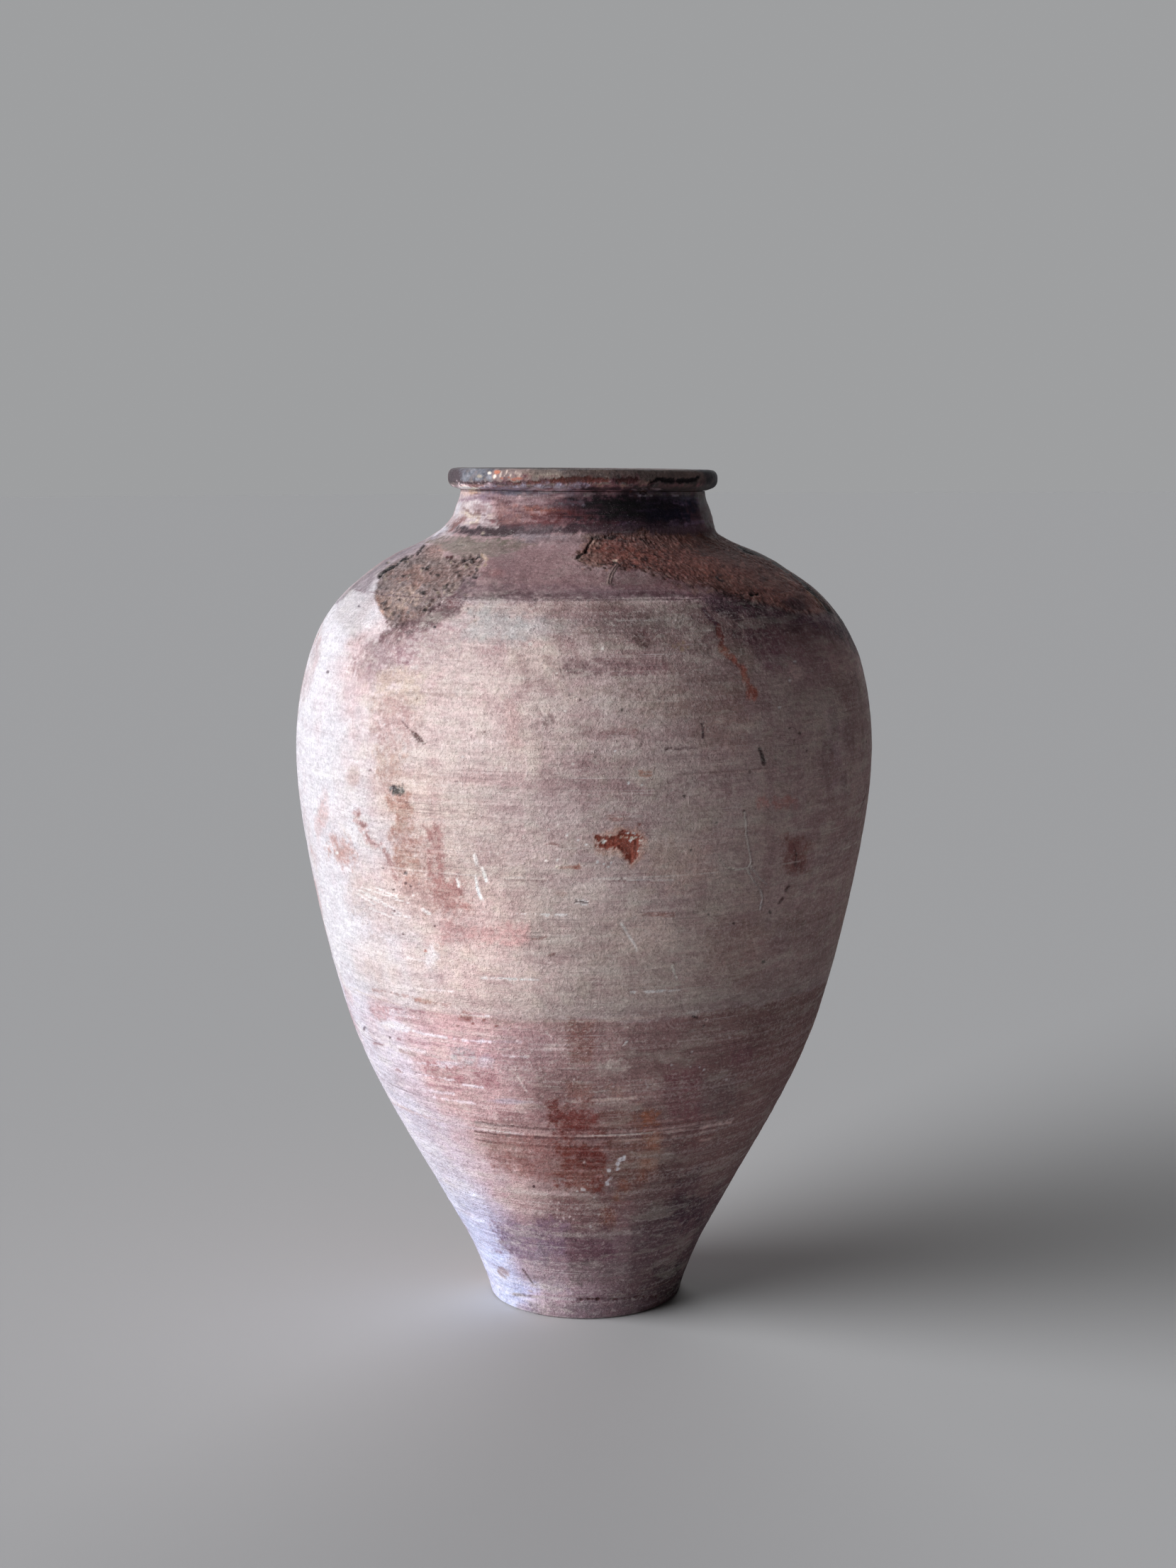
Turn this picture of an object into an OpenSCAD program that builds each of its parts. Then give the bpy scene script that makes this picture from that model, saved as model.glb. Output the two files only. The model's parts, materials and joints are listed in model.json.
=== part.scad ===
// Large garden olive jar in unglazed fired clay, about knee to hip high.
// It is built up the way such jars are thrown: a slab for the base, five
// thick wall sections, a shoulder, a neck collar and a rolled rim. Each section
// is let into the next with a tongue and groove, and bedded on a thin ring of
// slip, which is what shows outside as a fine line round the jar.
// Millimetres, Z up, origin at the middle of the resting face.

/* [Overall] */
// Height from the resting face to the top of the rim
jar_h = 900; // [870:5:930]
// Widest diameter of the body, about two thirds of the way up
belly_d = 616; // [600:2:640]

/* [Walls] */
// Thickness of the thrown wall, square to its surface
wall_t = 19; // [16:0.5:22]
// Thickness of the floor at its middle
floor_t = 24; // [20:1:30]
// Diameter of the straight throat inside the neck
throat_d = 212; // [200:2:220]

/* [Rim] */
// How far the rolled rim stands out past the neck
rim_over = 13; // [9:0.5:16]
// Height of the rolled rim
rim_h = 23; // [20:1:26]
// Roundness of the rim's inner edge
lip_r = 6; // [3:0.5:8]

/* [Foot] */
// Diameter of the shallow hollow under the base
hollow_d = 144; // [100:4:160]
// Depth of that hollow
hollow_h = 3; // [1:0.5:5]

/* [Joints between the sections] */
// Thickness of the slip ring between two sections, along the wall
slip_t = 2; // [1.5:0.25:3]
// Height of the tongue that each section stands up into the next
tongue_h = 6; // [3:0.5:8]
// Height of the joint between base slab and foot section
joint_1 = 28; // [26:1:36]
// Height of the joint between foot and lower body
joint_2 = 235; // [220:5:250]
// Height of the joint between lower body and waist
joint_3 = 364; // [350:2:380]
// Height of the joint between waist and belly
joint_4 = 511; // [495:2:525]
// Height of the joint between belly and upper body
joint_5 = 638; // [625:1:650]
// Height of the joint between upper body and shoulder
joint_6 = 775; // [768:1:780]
// Height of the joint between shoulder and neck
joint_7 = 834; // [832:1:836]

/* [Hidden] */

// Outside of a jar 900 high and 616 across: [height, radius]
outline = [[0, 101.5], [1.2, 103.8], [4, 105.3], [8, 106.2], [14, 108],
    [28, 113], [56, 124], [100, 147], [145, 171], [190, 196], [235, 219.5],
    [300, 248], [364, 267.5], [440, 285.5], [511, 298.5], [560, 305.5],
    [602, 308], [640, 306], [680, 298.5], [715, 287], [747, 269.5],
    [775, 244], [791, 222.5], [803, 205], [812, 188], [819, 172], [827, 157],
    [834, 147], [842, 141.5], [850, 137.5], [860, 134], [868, 131],
    [880, 129]];
kz = jar_h / 900;
kr = belly_d / 616;
rim_z = jar_h - rim_h;            // underside of the rim, above its slip ring
throat_r = throat_d / 2;
step = 8;                          // height between two points of the outline

// Slope of the outline at station i, between those of its two neighbours
function chord(i) = (outline[i + 1][1] - outline[i][1]) / (outline[i + 1][0] - outline[i][0]);
function span(i) = outline[i + 1][0] - outline[i][0];
function lean(i) =
    i == 0 ? chord(0) :
    i == len(outline) - 1 ? chord(i - 1) :
    (span(i) * chord(i - 1) + span(i - 1) * chord(i)) / (span(i) + span(i - 1));
function find(z, i = 0) = i >= len(outline) - 2 || outline[i + 1][0] >= z ? i : find(z, i + 1);

// Radius of the outside at a height: a smooth curve through the stations
function curve(z) =
    let (i = find(z), h = span(i), t = (z - outline[i][0]) / h)
    (2 * pow(t, 3) - 3 * pow(t, 2) + 1) * outline[i][1]
    + (pow(t, 3) - 2 * pow(t, 2) + t) * h * lean(i)
    + (3 * pow(t, 2) - 2 * pow(t, 3)) * outline[i + 1][1]
    + (pow(t, 3) - pow(t, 2)) * h * lean(i + 1);
function rad(z) = kr * curve(z / kz);
function slope(z) = rad(z + 0.5) - rad(z - 0.5);
function size(z) = sqrt(1 + pow(slope(z), 2));
function along(z) = [slope(z), 1] / size(z);       // up the wall
function outward(z) = [1, -slope(z)] / size(z);    // square to the wall

// A point in the wall: w is 0 on the outside and 1 on the inside
function in_wall(z, w) = [rad(z), z] - w * wall_t * outward(z);

// Edge of a joint from outside to inside, with its tongue standing up
function joint(z) = [
    in_wall(z, 0), in_wall(z, 0.28),
    in_wall(z, 0.5) + tongue_h * along(z),
    in_wall(z, 0.72), in_wall(z, 1)];
function over(z) = z + slip_t / size(z);           // top of the slip ring
function back(p) = [for (i = [len(p) - 1:-1:0]) p[i]];

// Heights strictly between two joints, evenly spaced
function rungs(a, b) = let (n = ceil((b - a) / step)) [for (i = [1:n - 1]) a + (b - a) * i / n];

// A thrown wall section from the slip at joint a up to joint b
function section(a, b) = concat(
    back(joint(over(a))),
    [for (z = rungs(over(a), b)) in_wall(z, 0)],
    joint(b),
    [for (z = back(rungs(over(a), b))) in_wall(z, 1)]);
module thrown(points) rotate_extrude($fn = 128) polygon(points);
module wall_section(a, b) thrown(section(kz * a, kz * b));
module slip_ring(a) thrown(concat(joint(kz * a), back(joint(over(kz * a)))));

// Neck: its inside sweeps in from the shoulder to the straight throat
neck_z = kz * joint_7;
neck_in = in_wall(over(neck_z), 1);
throat_z = jar_h - 42;
sweep_in = [throat_r + 5, throat_z - 17];
rim_joint = rim_z - slip_t;
neck_out = rad(rim_joint);
function flat_joint(z, r) = [[r, z], [r - 6, z], [(r + throat_r) / 2, z + tongue_h],
    [throat_r + 6, z], [throat_r, z]];
function sweep(t) = pow(1 - t, 2) * neck_in + 2 * t * (1 - t) * sweep_in
    + pow(t, 2) * [throat_r, throat_z];

// Rolled rim: [share of the overhang, share of its height] from the neck out
roll = [[0.3, 0.05], [0.68, 0.14], [0.93, 0.3], [1, 0.5], [0.97, 0.72],
    [0.83, 0.88], [0.58, 0.97], [0.23, 1]];

module base_slab() color("#8f8079") thrown(concat(
    [[0, hollow_h], [hollow_d / 2, hollow_h], [hollow_d / 2 + 1.5 * hollow_h, 0]],
    [for (z = [0, 1.2, 4, 8, 14, 21]) [rad(kz * z), kz * z]],
    joint(kz * joint_1),
    [for (t = [0.25, 0.5, 0.75, 1])
        pow(1 - t, 2) * in_wall(kz * joint_1, 1)
        + 2 * t * (1 - t) * [rad(kz * joint_1) - wall_t - 4, floor_t]
        + pow(t, 2) * [rad(kz * joint_1) - wall_t - 24, floor_t]],
    [[0, floor_t]]));

module slip_ring_foot() color("#b9aca2") slip_ring(joint_1);
module foot_section() color("#94766c") wall_section(joint_1, joint_2);
module slip_ring_lower() color("#c2b6ac") slip_ring(joint_2);
module lower_body_section() color("#9a7368") wall_section(joint_2, joint_3);
module slip_ring_waist() color("#b3a195") slip_ring(joint_3);
module waist_section() color("#a98a80") wall_section(joint_3, joint_4);
module slip_ring_belly() color("#bfaea4") slip_ring(joint_4);
module belly_section() color("#a8837a") wall_section(joint_4, joint_5);
module slip_ring_upper() color("#9d8379") slip_ring(joint_5);
module upper_body_section() color("#a5807a") wall_section(joint_5, joint_6);
module slip_ring_shoulder() color("#7d625f") slip_ring(joint_6);
module shoulder_section() color("#8b6c63") wall_section(joint_6, joint_7);
module slip_ring_neck() color("#6f6a60") slip_ring(joint_7);

module neck_collar() color("#8d7d7b") thrown(concat(
    back(joint(over(neck_z))),
    [for (z = rungs(over(neck_z), rim_joint)) [rad(z), z]],
    flat_joint(rim_joint, neck_out),
    [for (t = [0:0.125:0.875]) sweep(1 - t)]));

module slip_ring_rim() color("#5f4c49") thrown(concat(
    flat_joint(rim_joint, neck_out), back(flat_joint(rim_z, neck_out))));

module rim_roll() color("#5b5450") thrown(concat(
    back(flat_joint(rim_z, neck_out)),
    [for (p = roll) [neck_out + p[0] * rim_over, rim_z + p[1] * rim_h]],
    [for (a = [90:-22.5:0]) [throat_r + lip_r * (1 - cos(a)), jar_h - lip_r * (1 - sin(a))]]));

base_slab();
slip_ring_foot();
foot_section();
slip_ring_lower();
lower_body_section();
slip_ring_waist();
waist_section();
slip_ring_belly();
belly_section();
slip_ring_upper();
upper_body_section();
slip_ring_shoulder();
shoulder_section();
slip_ring_neck();
neck_collar();
slip_ring_rim();
rim_roll();
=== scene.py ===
import json
import math
import bpy
import numpy as np
from mathutils import Matrix

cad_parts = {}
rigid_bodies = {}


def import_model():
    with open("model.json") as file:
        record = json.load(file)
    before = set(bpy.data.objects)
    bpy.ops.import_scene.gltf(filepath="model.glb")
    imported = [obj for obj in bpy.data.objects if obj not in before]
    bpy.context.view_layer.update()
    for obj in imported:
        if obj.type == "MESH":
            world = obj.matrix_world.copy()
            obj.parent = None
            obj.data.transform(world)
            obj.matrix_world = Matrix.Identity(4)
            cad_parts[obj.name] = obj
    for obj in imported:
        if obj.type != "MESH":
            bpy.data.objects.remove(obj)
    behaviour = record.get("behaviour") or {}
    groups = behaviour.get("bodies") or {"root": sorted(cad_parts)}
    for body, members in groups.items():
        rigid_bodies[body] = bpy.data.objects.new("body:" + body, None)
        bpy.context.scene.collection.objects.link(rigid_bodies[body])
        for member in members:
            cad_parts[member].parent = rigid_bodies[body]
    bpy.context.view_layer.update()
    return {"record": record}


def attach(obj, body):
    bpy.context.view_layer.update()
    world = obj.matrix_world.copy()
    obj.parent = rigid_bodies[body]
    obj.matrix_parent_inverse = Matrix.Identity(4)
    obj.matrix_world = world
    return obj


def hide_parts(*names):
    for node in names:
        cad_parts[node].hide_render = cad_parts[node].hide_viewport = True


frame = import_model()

rng = np.random.default_rng(7)

# ---------------------------------------------------------------- outline
# The thrown outline in millimetres, the same stations as the solids
STATIONS = np.array([
    (0, 101.5), (1.2, 103.8), (4, 105.3), (8, 106.2), (14, 108), (28, 113),
    (56, 124), (100, 147), (145, 171), (190, 196), (235, 219.5), (300, 248),
    (364, 267.5), (440, 285.5), (511, 298.5), (560, 305.5), (602, 308),
    (640, 306), (680, 298.5), (715, 287), (747, 269.5), (775, 244),
    (791, 222.5), (803, 205), (812, 188), (819, 172), (827, 157), (834, 147),
    (842, 141.5), (850, 137.5), (860, 134), (868, 131), (880, 129)], float)
H, WALL, FLOOR, THROAT, SLIP, TONGUE = 900.0, 19.0, 24.0, 106.0, 2.0, 6.0
RIM_Z, RIM_OVER, RIM_H, LIP = 877.0, 13.0, 23.0, 6.0
HOLLOW_R, HOLLOW_H = 72.0, 3.0
SZ, SR = STATIONS[:, 0], STATIONS[:, 1]
CH = np.diff(SR) / np.diff(SZ)
SP = np.diff(SZ)
LEAN = np.concatenate([[CH[0]], (SP[1:] * CH[:-1] + SP[:-1] * CH[1:]) / (SP[1:] + SP[:-1]), [CH[-1]]])


def rad(z):
    z = np.asarray(z, float)
    i = np.clip(np.searchsorted(SZ, z, side="left") - 1, 0, len(SZ) - 2)
    h = SP[i]
    t = (z - SZ[i]) / h
    return ((2 * t**3 - 3 * t**2 + 1) * SR[i] + (t**3 - 2 * t**2 + t) * h * LEAN[i]
            + (3 * t**2 - 2 * t**3) * SR[i + 1] + (t**3 - t**2) * h * LEAN[i + 1])


def slope(z):
    return rad(np.asarray(z, float) + 0.5) - rad(np.asarray(z, float) - 0.5)


def in_wall(z, w):
    m = slope(z)
    k = np.sqrt(1 + m * m)
    return rad(z) - w * WALL / k, z + w * WALL * m / k


def over(z):
    return z + SLIP / math.sqrt(1 + float(slope(z)) ** 2)


def joint(z):
    """Points of a joint's edge from outside to inside, the tongue standing up."""
    m = float(slope(z))
    k = math.sqrt(1 + m * m)
    pts = []
    for w in (0, 0.28, 0.5, 0.72, 1):
        r, zz = in_wall(z, w)
        if w == 0.5:
            r, zz = r + TONGUE * m / k, zz + TONGUE / k
        pts.append((float(r), float(zz)))
    return pts


def even(points, step, closed=False):
    """Resamples a line of (r, z) points to an even spacing, ends kept."""
    p = np.asarray(points, float)
    d = np.r_[0, np.cumsum(np.hypot(*np.diff(p, axis=0).T))]
    n = max(1, int(round(d[-1] / step)))
    t = np.linspace(0, d[-1], n + 1)
    return np.stack([np.interp(t, d, p[:, 0]), np.interp(t, d, p[:, 1])], 1)


def smooth_line(points, n=8):
    """Catmull-Rom curve through points."""
    p = np.asarray(points, float)
    q = np.vstack([2 * p[0] - p[1], p, 2 * p[-1] - p[-2]])
    out = []
    for i in range(1, len(q) - 2):
        for t in np.arange(n) / n:
            out.append(0.5 * (2 * q[i] + (q[i + 1] - q[i - 1]) * t
                              + (2 * q[i - 1] - 5 * q[i] + 4 * q[i + 1] - q[i + 2]) * t * t
                              + (3 * q[i] - q[i - 1] - 3 * q[i + 1] + q[i + 2]) * t**3))
    return np.array(out + [p[-1]])


def wall_curve(a, b):
    z = np.linspace(a, b, 400)
    return np.stack([rad(z), z], 1)


# Joint heights, and which pieces lie between them
JOINTS = {"foot": 28, "lower": 235, "waist": 364, "belly": 511, "upper": 638, "shoulder": 775, "neck": 834}
SECTIONS = [("foot_section", "foot", "lower"), ("lower_body_section", "lower", "waist"),
            ("waist_section", "waist", "belly"), ("belly_section", "belly", "upper"),
            ("upper_body_section", "upper", "shoulder"), ("shoulder_section", "shoulder", "neck")]
ROW = 1.5        # spacing of rows up the outside, in mm
IN_ROW = 11.0    # and up the inside
OUT, EDGE, IN, UNDER = 0, 1, 2, 3


class Loop:
    """The section of one piece: points (r, z), what each lies on, and how much of the relief it takes."""
    def __init__(self, axis=False):
        self.p, self.kind, self.w, self.axis = [], [], [], axis

    def add(self, pts, kind, w=0.0):
        for q in pts:
            if self.p and abs(q[0] - self.p[-1][0]) + abs(q[1] - self.p[-1][1]) < 1e-6:
                continue
            self.p.append((float(q[0]), float(q[1])))
            self.kind.append(kind)
            self.w.append(w)
        return self


loops = {}
for name, lo, hi in SECTIONS:
    a, b = over(JOINTS[lo]), float(JOINTS[hi])
    L = Loop()
    L.add(even(wall_curve(a, b), ROW), OUT, 1.0)
    L.add(joint(b)[1:], EDGE)
    inner = np.stack(in_wall(np.linspace(b, a, 300), 1), 1)
    L.add(even(inner, IN_ROW)[1:-1], IN)
    L.add(joint(a)[::-1][:-1], EDGE)
    loops[name] = L
for key, z in JOINTS.items():
    L = Loop()
    up = joint(over(z))
    L.add([joint(z)[0], up[0]], OUT, 1.0)
    L.add(up[1:], EDGE)
    L.add(joint(z)[::-1][:-1], EDGE)
    loops["slip_ring_" + key] = L

# base slab: from the middle of the underside, out, up the foot's edge, over the joint and in along the floor
L = Loop(axis=True)
under = [(0.0, HOLLOW_H), (HOLLOW_R, HOLLOW_H), (HOLLOW_R + 1.5 * HOLLOW_H, 0.0), (101.5, 0.0)]
L.add(even(under[:2], 4.0)[1:], UNDER)
L.add(even(under[1:3], 1.5)[1:], UNDER)
L.add(even(under[2:], 2.5)[1:-1], UNDER)
L.add(even(wall_curve(0.0, 28.0), 1.2), OUT, 1.0)
L.add(joint(28.0)[1:], EDGE)
p0, p2 = np.array(joint(28.0)[-1]), np.array((113 - 19 - 24.0, FLOOR))
p1 = np.array((113 - 19 - 4.0, FLOOR))
t = np.linspace(0, 1, 12)[:, None]
L.add(((1 - t) ** 2 * p0 + 2 * t * (1 - t) * p1 + t * t * p2)[1:], IN)
L.add(even([tuple(p2), (0.0, FLOOR)], 5.0)[1:-1], IN)
loops["base_slab"] = L
AXIS_Z = {"base_slab": (HOLLOW_H, FLOOR)}

# neck
JR = RIM_Z - SLIP
NECK_R = float(rad(JR))


def flat_joint(z, r):
    return [(r, z), (r - 6, z), ((r + THROAT) / 2, z + TONGUE), (THROAT + 6, z), (THROAT, z)]


a = over(834.0)
L = Loop()
L.add(even(wall_curve(a, JR), 1.6), OUT, 1.0)
L.add(flat_joint(JR, NECK_R)[1:], EDGE)
n_in = np.array(in_wall(a, 1))
sweep = np.array([(1 - t) ** 2 * n_in + 2 * t * (1 - t) * np.array((THROAT + 5, H - 59)) + t * t * np.array((THROAT, H - 42))
                  for t in np.linspace(1, 0, 16)])
L.add(even(np.vstack([[(THROAT, JR)], sweep]), 2.5)[1:-1], IN)
L.add(joint(a)[::-1][:-1], EDGE)
loops["neck_collar"] = L
L = Loop()
L.add([(NECK_R, JR), (NECK_R, RIM_Z)], OUT, 1.0)
L.add(flat_joint(RIM_Z, NECK_R)[1:], EDGE)
L.add(flat_joint(JR, NECK_R)[::-1][:-1], EDGE)
loops["slip_ring_rim"] = L

# rim
ROLL = [(0.3, 0.05), (0.68, 0.14), (0.93, 0.3), (1, 0.5), (0.97, 0.72), (0.83, 0.88), (0.58, 0.97), (0.23, 1)]
roll = [(NECK_R + u * RIM_OVER, RIM_Z + v * RIM_H) for u, v in ROLL]
L = Loop()
rim_out = smooth_line([(NECK_R, RIM_Z)] + roll)
rim_out[:, 0] = np.minimum(rim_out[:, 0], NECK_R + RIM_OVER)
rim_out[:, 1] = np.minimum(rim_out[:, 1], H)
L.add(even(rim_out, 1.0), OUT, 1.0)
L.add(even([tuple(roll[-1]), (THROAT + LIP, H)], 1.6)[1:], OUT, 1.0)
arc = [(THROAT + LIP * (1 - math.cos(q)), H - LIP * (1 - math.sin(q))) for q in np.linspace(math.pi / 2, 0, 8)]
L.add(arc[1:], IN)
L.add(even([(THROAT, H - LIP), (THROAT, RIM_Z)], 2.5)[1:], IN)
L.add(flat_joint(RIM_Z, NECK_R)[::-1][1:-1], EDGE)
loops["rim_roll"] = L

# ---------------------------------------------------------------- columns round the jar
N = 1200
uu = (np.arange(N) + 0.5) / N * 2 * math.pi - math.pi
PHI = uu - 0.35 * np.sin(uu)          # 0 at the front, closer together there
CP, SN = np.cos(PHI), np.sin(PHI)

# ---------------------------------------------------------------- camera of the picture
F_PX, DIST, CAM_H = 3309.0, 2.5, 0.908
PITCH, ROLL_A, YAW = math.radians(7.891), math.radians(-0.26), math.radians(0.115)
R0 = np.array([math.cos(YAW), -math.sin(YAW), 0.0])
FH = np.array([math.sin(YAW), math.cos(YAW), 0.0])
FWD = FH * math.cos(PITCH) - np.array([0, 0, 1.0]) * math.sin(PITCH)
U0 = FH * math.sin(PITCH) + np.array([0, 0, 1.0]) * math.cos(PITCH)
RIGHT = R0 * math.cos(ROLL_A) + U0 * math.sin(ROLL_A)
UP = U0 * math.cos(ROLL_A) - R0 * math.sin(ROLL_A)
CAM = np.array([0.0, -DIST, CAM_H])


def project(P):
    """Millimetres to pixels of the 1659 x 2212 frame."""
    q = P / 1000.0 - CAM
    d = q @ FWD
    return 829.5 + F_PX * (q @ RIGHT) / d, 1106.0 - F_PX * (q @ UP) / d


# ---------------------------------------------------------------- noise
def _hash(i, j, k, seed):
    n = (i.astype(np.uint32) * np.uint32(374761393) + j.astype(np.uint32) * np.uint32(668265263)
         + k.astype(np.uint32) * np.uint32(2246822519) + np.uint32((seed * 974711 + 12345) & 0xffffffff))
    n = (n ^ (n >> np.uint32(13))) * np.uint32(1274126177)
    n = (n ^ (n >> np.uint32(15))) * np.uint32(2246822519)
    return ((n ^ (n >> np.uint32(16))) & np.uint32(0xffffff)).astype(np.float32) / np.float32(0xffffff)


def vnoise(x, y, z, seed=0):
    """Value noise, about -1 to 1, one cell to a unit."""
    f = [np.floor(q) for q in (x, y, z)]
    i, j, k = (q.astype(np.int64) for q in f)
    t = [(q - g).astype(np.float32) for q, g in zip((x, y, z), f)]
    t = [q * q * q * (q * (q * 6 - 15) + 10) for q in t]
    out = 0
    for a in (0, 1):
        for b in (0, 1):
            c0 = _hash(i + a, j + b, k, seed)
            c1 = _hash(i + a, j + b, k + 1, seed)
            w = (t[0] if a else 1 - t[0]) * (t[1] if b else 1 - t[1])
            out = out + w * (c0 + (c1 - c0) * t[2])
    return out * 2 - 1


def fbm(P, scale, seed=0, octaves=4, stretch=(1, 1, 1), gain=0.5):
    out, amp, tot = 0, 1.0, 0.0
    for o in range(octaves):
        k = 2.03**o / scale
        out = out + amp * vnoise(P[:, 0] * k / stretch[0] + 31.7 * o, P[:, 1] * k / stretch[1] + 11.3 * o,
                                 P[:, 2] * k / stretch[2] + 7.1 * o, seed + o)
        tot += amp * amp
        amp *= gain
    return out / math.sqrt(tot) * 1.6


def sstep(a, b, x):
    t = np.clip((x - a) / (b - a), 0, 1)
    return t * t * (3 - 2 * t)


# ---------------------------------------------------------------- gather all outside points
LEAN_Z = [0, 450, 500, 600, 645, 700, 735, 755, 780, 791, 832, 840, 850, 900]
LEAN_X = [0, 0, 0.6, 1.0, 1.0, 1.4, 0, -1, -2.8, -4, -5.0, -2, 1.0, 1.0]
TILT = math.tan(math.radians(0.69))


def bend(P):
    """The jar isn't quite true: it leans a little, and its rim sits a touch lower at its right."""
    z = P[:, 2]
    Q = P.copy()
    Q[:, 0] += np.interp(z, LEAN_Z, LEAN_X)
    Q[:, 2] -= sstep(770, 850, z) * TILT * (P[:, 0] + 142.0) * np.clip(142.0 / np.maximum(np.hypot(P[:, 0], P[:, 1]), 1), 0.5, 1.0)
    return Q


names = list(loops)
grid = {}
outs = []
start = 0
for name in names:
    L = loops[name]
    p = np.array(L.p)
    kind = np.array(L.kind)
    k = len(p)
    # normals of the section line, turned outwards
    nxt, prv = np.roll(p, -1, 0), np.roll(p, 1, 0)
    o = np.where(kind == OUT)[0]
    tang = np.zeros_like(p)
    for i in o:
        a_, b_ = max(i - 1, o[0]), min(i + 1, o[-1])
        tang[i] = p[b_] - p[a_]
    tang /= np.maximum(np.hypot(*tang.T), 1e-9)[:, None]
    nrm = np.stack([tang[:, 1], -tang[:, 0]], 1)
    if name not in ("rim_roll",):
        m = slope(p[:, 1])
        kk = np.sqrt(1 + m * m)
        nrm = np.stack([1 / kk, -m / kk], 1)
    P = np.stack([p[:, 0][:, None] * SN, -p[:, 0][:, None] * CP, np.repeat(p[:, 1][:, None], N, 1)], -1).reshape(-1, 3)
    NR = np.stack([nrm[:, 0][:, None] * SN, -nrm[:, 0][:, None] * CP, np.repeat(nrm[:, 1][:, None], N, 1)], -1).reshape(-1, 3)
    grid[name] = {"P": P, "kind": np.repeat(kind, N), "w": np.repeat(np.array(L.w), N), "rows": k, "span": (start, start + k * N)}
    outs.append((P, NR, grid[name]["kind"], grid[name]["w"], np.tile(PHI, k), np.full(k * N, names.index(name))))
    start += k * N
P0 = np.concatenate([q[0] for q in outs])
NRM = np.concatenate([q[1] for q in outs])
KIND = np.concatenate([q[2] for q in outs])
WGT = np.concatenate([q[3] for q in outs])
PH = np.concatenate([q[4] for q in outs])
WHO = np.concatenate([q[5] for q in outs])
PB = bend(P0)

# only the outside is painted
S = np.where(KIND == OUT)[0]
Ps, Ns, Zs, Fs = P0[S], NRM[S], P0[S, 2], PH[S]
U, V = project(PB[S])
vis = ((CAM * 1000 - PB[S]) * Ns).sum(1) / np.linalg.norm(CAM * 1000 - PB[S], axis=1)
FRONT = sstep(-0.02, 0.10, vis)
deg = np.degrees(Fs)

nF = fbm(Ps, 2.6, 11, 2)
nA = fbm(Ps, 6, 12, 3)
nB = fbm(Ps, 16, 13, 3)
nC = fbm(Ps, 45, 14, 3)
nD = fbm(Ps, 140, 15, 2)
nH = fbm(Ps, 3.2, 16, 3, stretch=(26, 26, 1))          # drawn round by the turning
nH2 = fbm(Ps, 11, 17, 3, stretch=(16, 16, 1))
nV = fbm(Ps, 14, 18, 3, stretch=(1, 1, 7))             # drawn down by the weather


def linear(c):
    c = np.clip(c, 0, 1)
    return np.where(c <= 0.04045, c / 12.92, ((c + 0.055) / 1.055) ** 2.4)


def coded(c):
    c = np.clip(c, 0, 1)
    return np.where(c <= 0.0031308, c * 12.92, 1.055 * np.power(np.maximum(c, 1e-9), 1 / 2.4) - 0.055)


# ---------------------------------------------------------------- light
# A broad soft lamp low at the left, a weaker one behind at the right and a little even air. Both lamps
# are far off, so the floor is lit alike out to its end. Each is (name, azimuth from the front,
# elevation, radius in degrees, brightness on a white face, colour).
AIR = np.array((1.0, 0.98, 0.96)) * 0.03
LAMPS = [("window_left", -72, 12, 28, 2.2, (0.965, 0.985, 1.03)), ("window_back", 176, 14, 22, 0.50, (0.97, 0.99, 1.02))]
FLOOR_OWN = np.array((0.52, 0.515, 0.51))


def toward(az, el):
    a_, e_ = math.radians(az), math.radians(el)
    return np.array([math.sin(a_) * math.cos(e_), -math.cos(a_) * math.cos(e_), math.sin(e_)])


def sky(d):
    """Brightness of all light in directions d."""
    out = np.tile(AIR, (len(d), 1))
    for _, az, el, half, power, colour in LAMPS:
        inside = d @ toward(az, el) > math.cos(math.radians(half))
        out = out + inside[:, None] * power / math.sin(math.radians(half)) ** 2 * np.array(colour)
    return out


def lux_table():
    """Light that falls on a white surface, by the way it faces: [azimuth, elevation, colour]."""
    m = 9000
    k_ = np.arange(m) + 0.5
    z = 1 - 2 * k_ / m
    f = k_ * math.pi * (3 - math.sqrt(5))
    r = np.sqrt(1 - z * z)
    d = np.stack([r * np.cos(f), r * np.sin(f), z], 1)
    dw = 4 * math.pi / m
    up = d[:, 2] > 0
    rad_ = sky(d)
    floor_light = (rad_[up] * d[up, 2][:, None]).sum(0) * dw / math.pi
    rad_[~up] = floor_light * FLOOR_OWN
    az = np.arange(-180, 181, 5)
    el = np.arange(-90, 91, 7.5)
    tab = np.zeros((len(az), len(el), 3))
    for i, p in enumerate(az):
        for j, q in enumerate(el):
            tab[i, j] = (rad_ * np.maximum(d @ toward(p, q), 0)[:, None]).sum(0) * dw / math.pi
    return tab


LUX_T = lux_table()
n_az = np.degrees(np.arctan2(Ns[:, 0], -Ns[:, 1]))
n_el = np.degrees(np.arcsin(np.clip(Ns[:, 2], -1, 1)))
fa, fe = (n_az + 180) / 5, (n_el + 90) / 7.5
ia, ie = np.clip(fa.astype(int), 0, 71), np.clip(fe.astype(int), 0, 23)
ta, te = (fa - ia)[:, None], (fe - ie)[:, None]
LUX = ((LUX_T[ia, ie] * (1 - te) + LUX_T[ia, ie + 1] * te) * (1 - ta)
       + (LUX_T[ia + 1, ie] * (1 - te) + LUX_T[ia + 1, ie + 1] * te) * ta)


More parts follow.
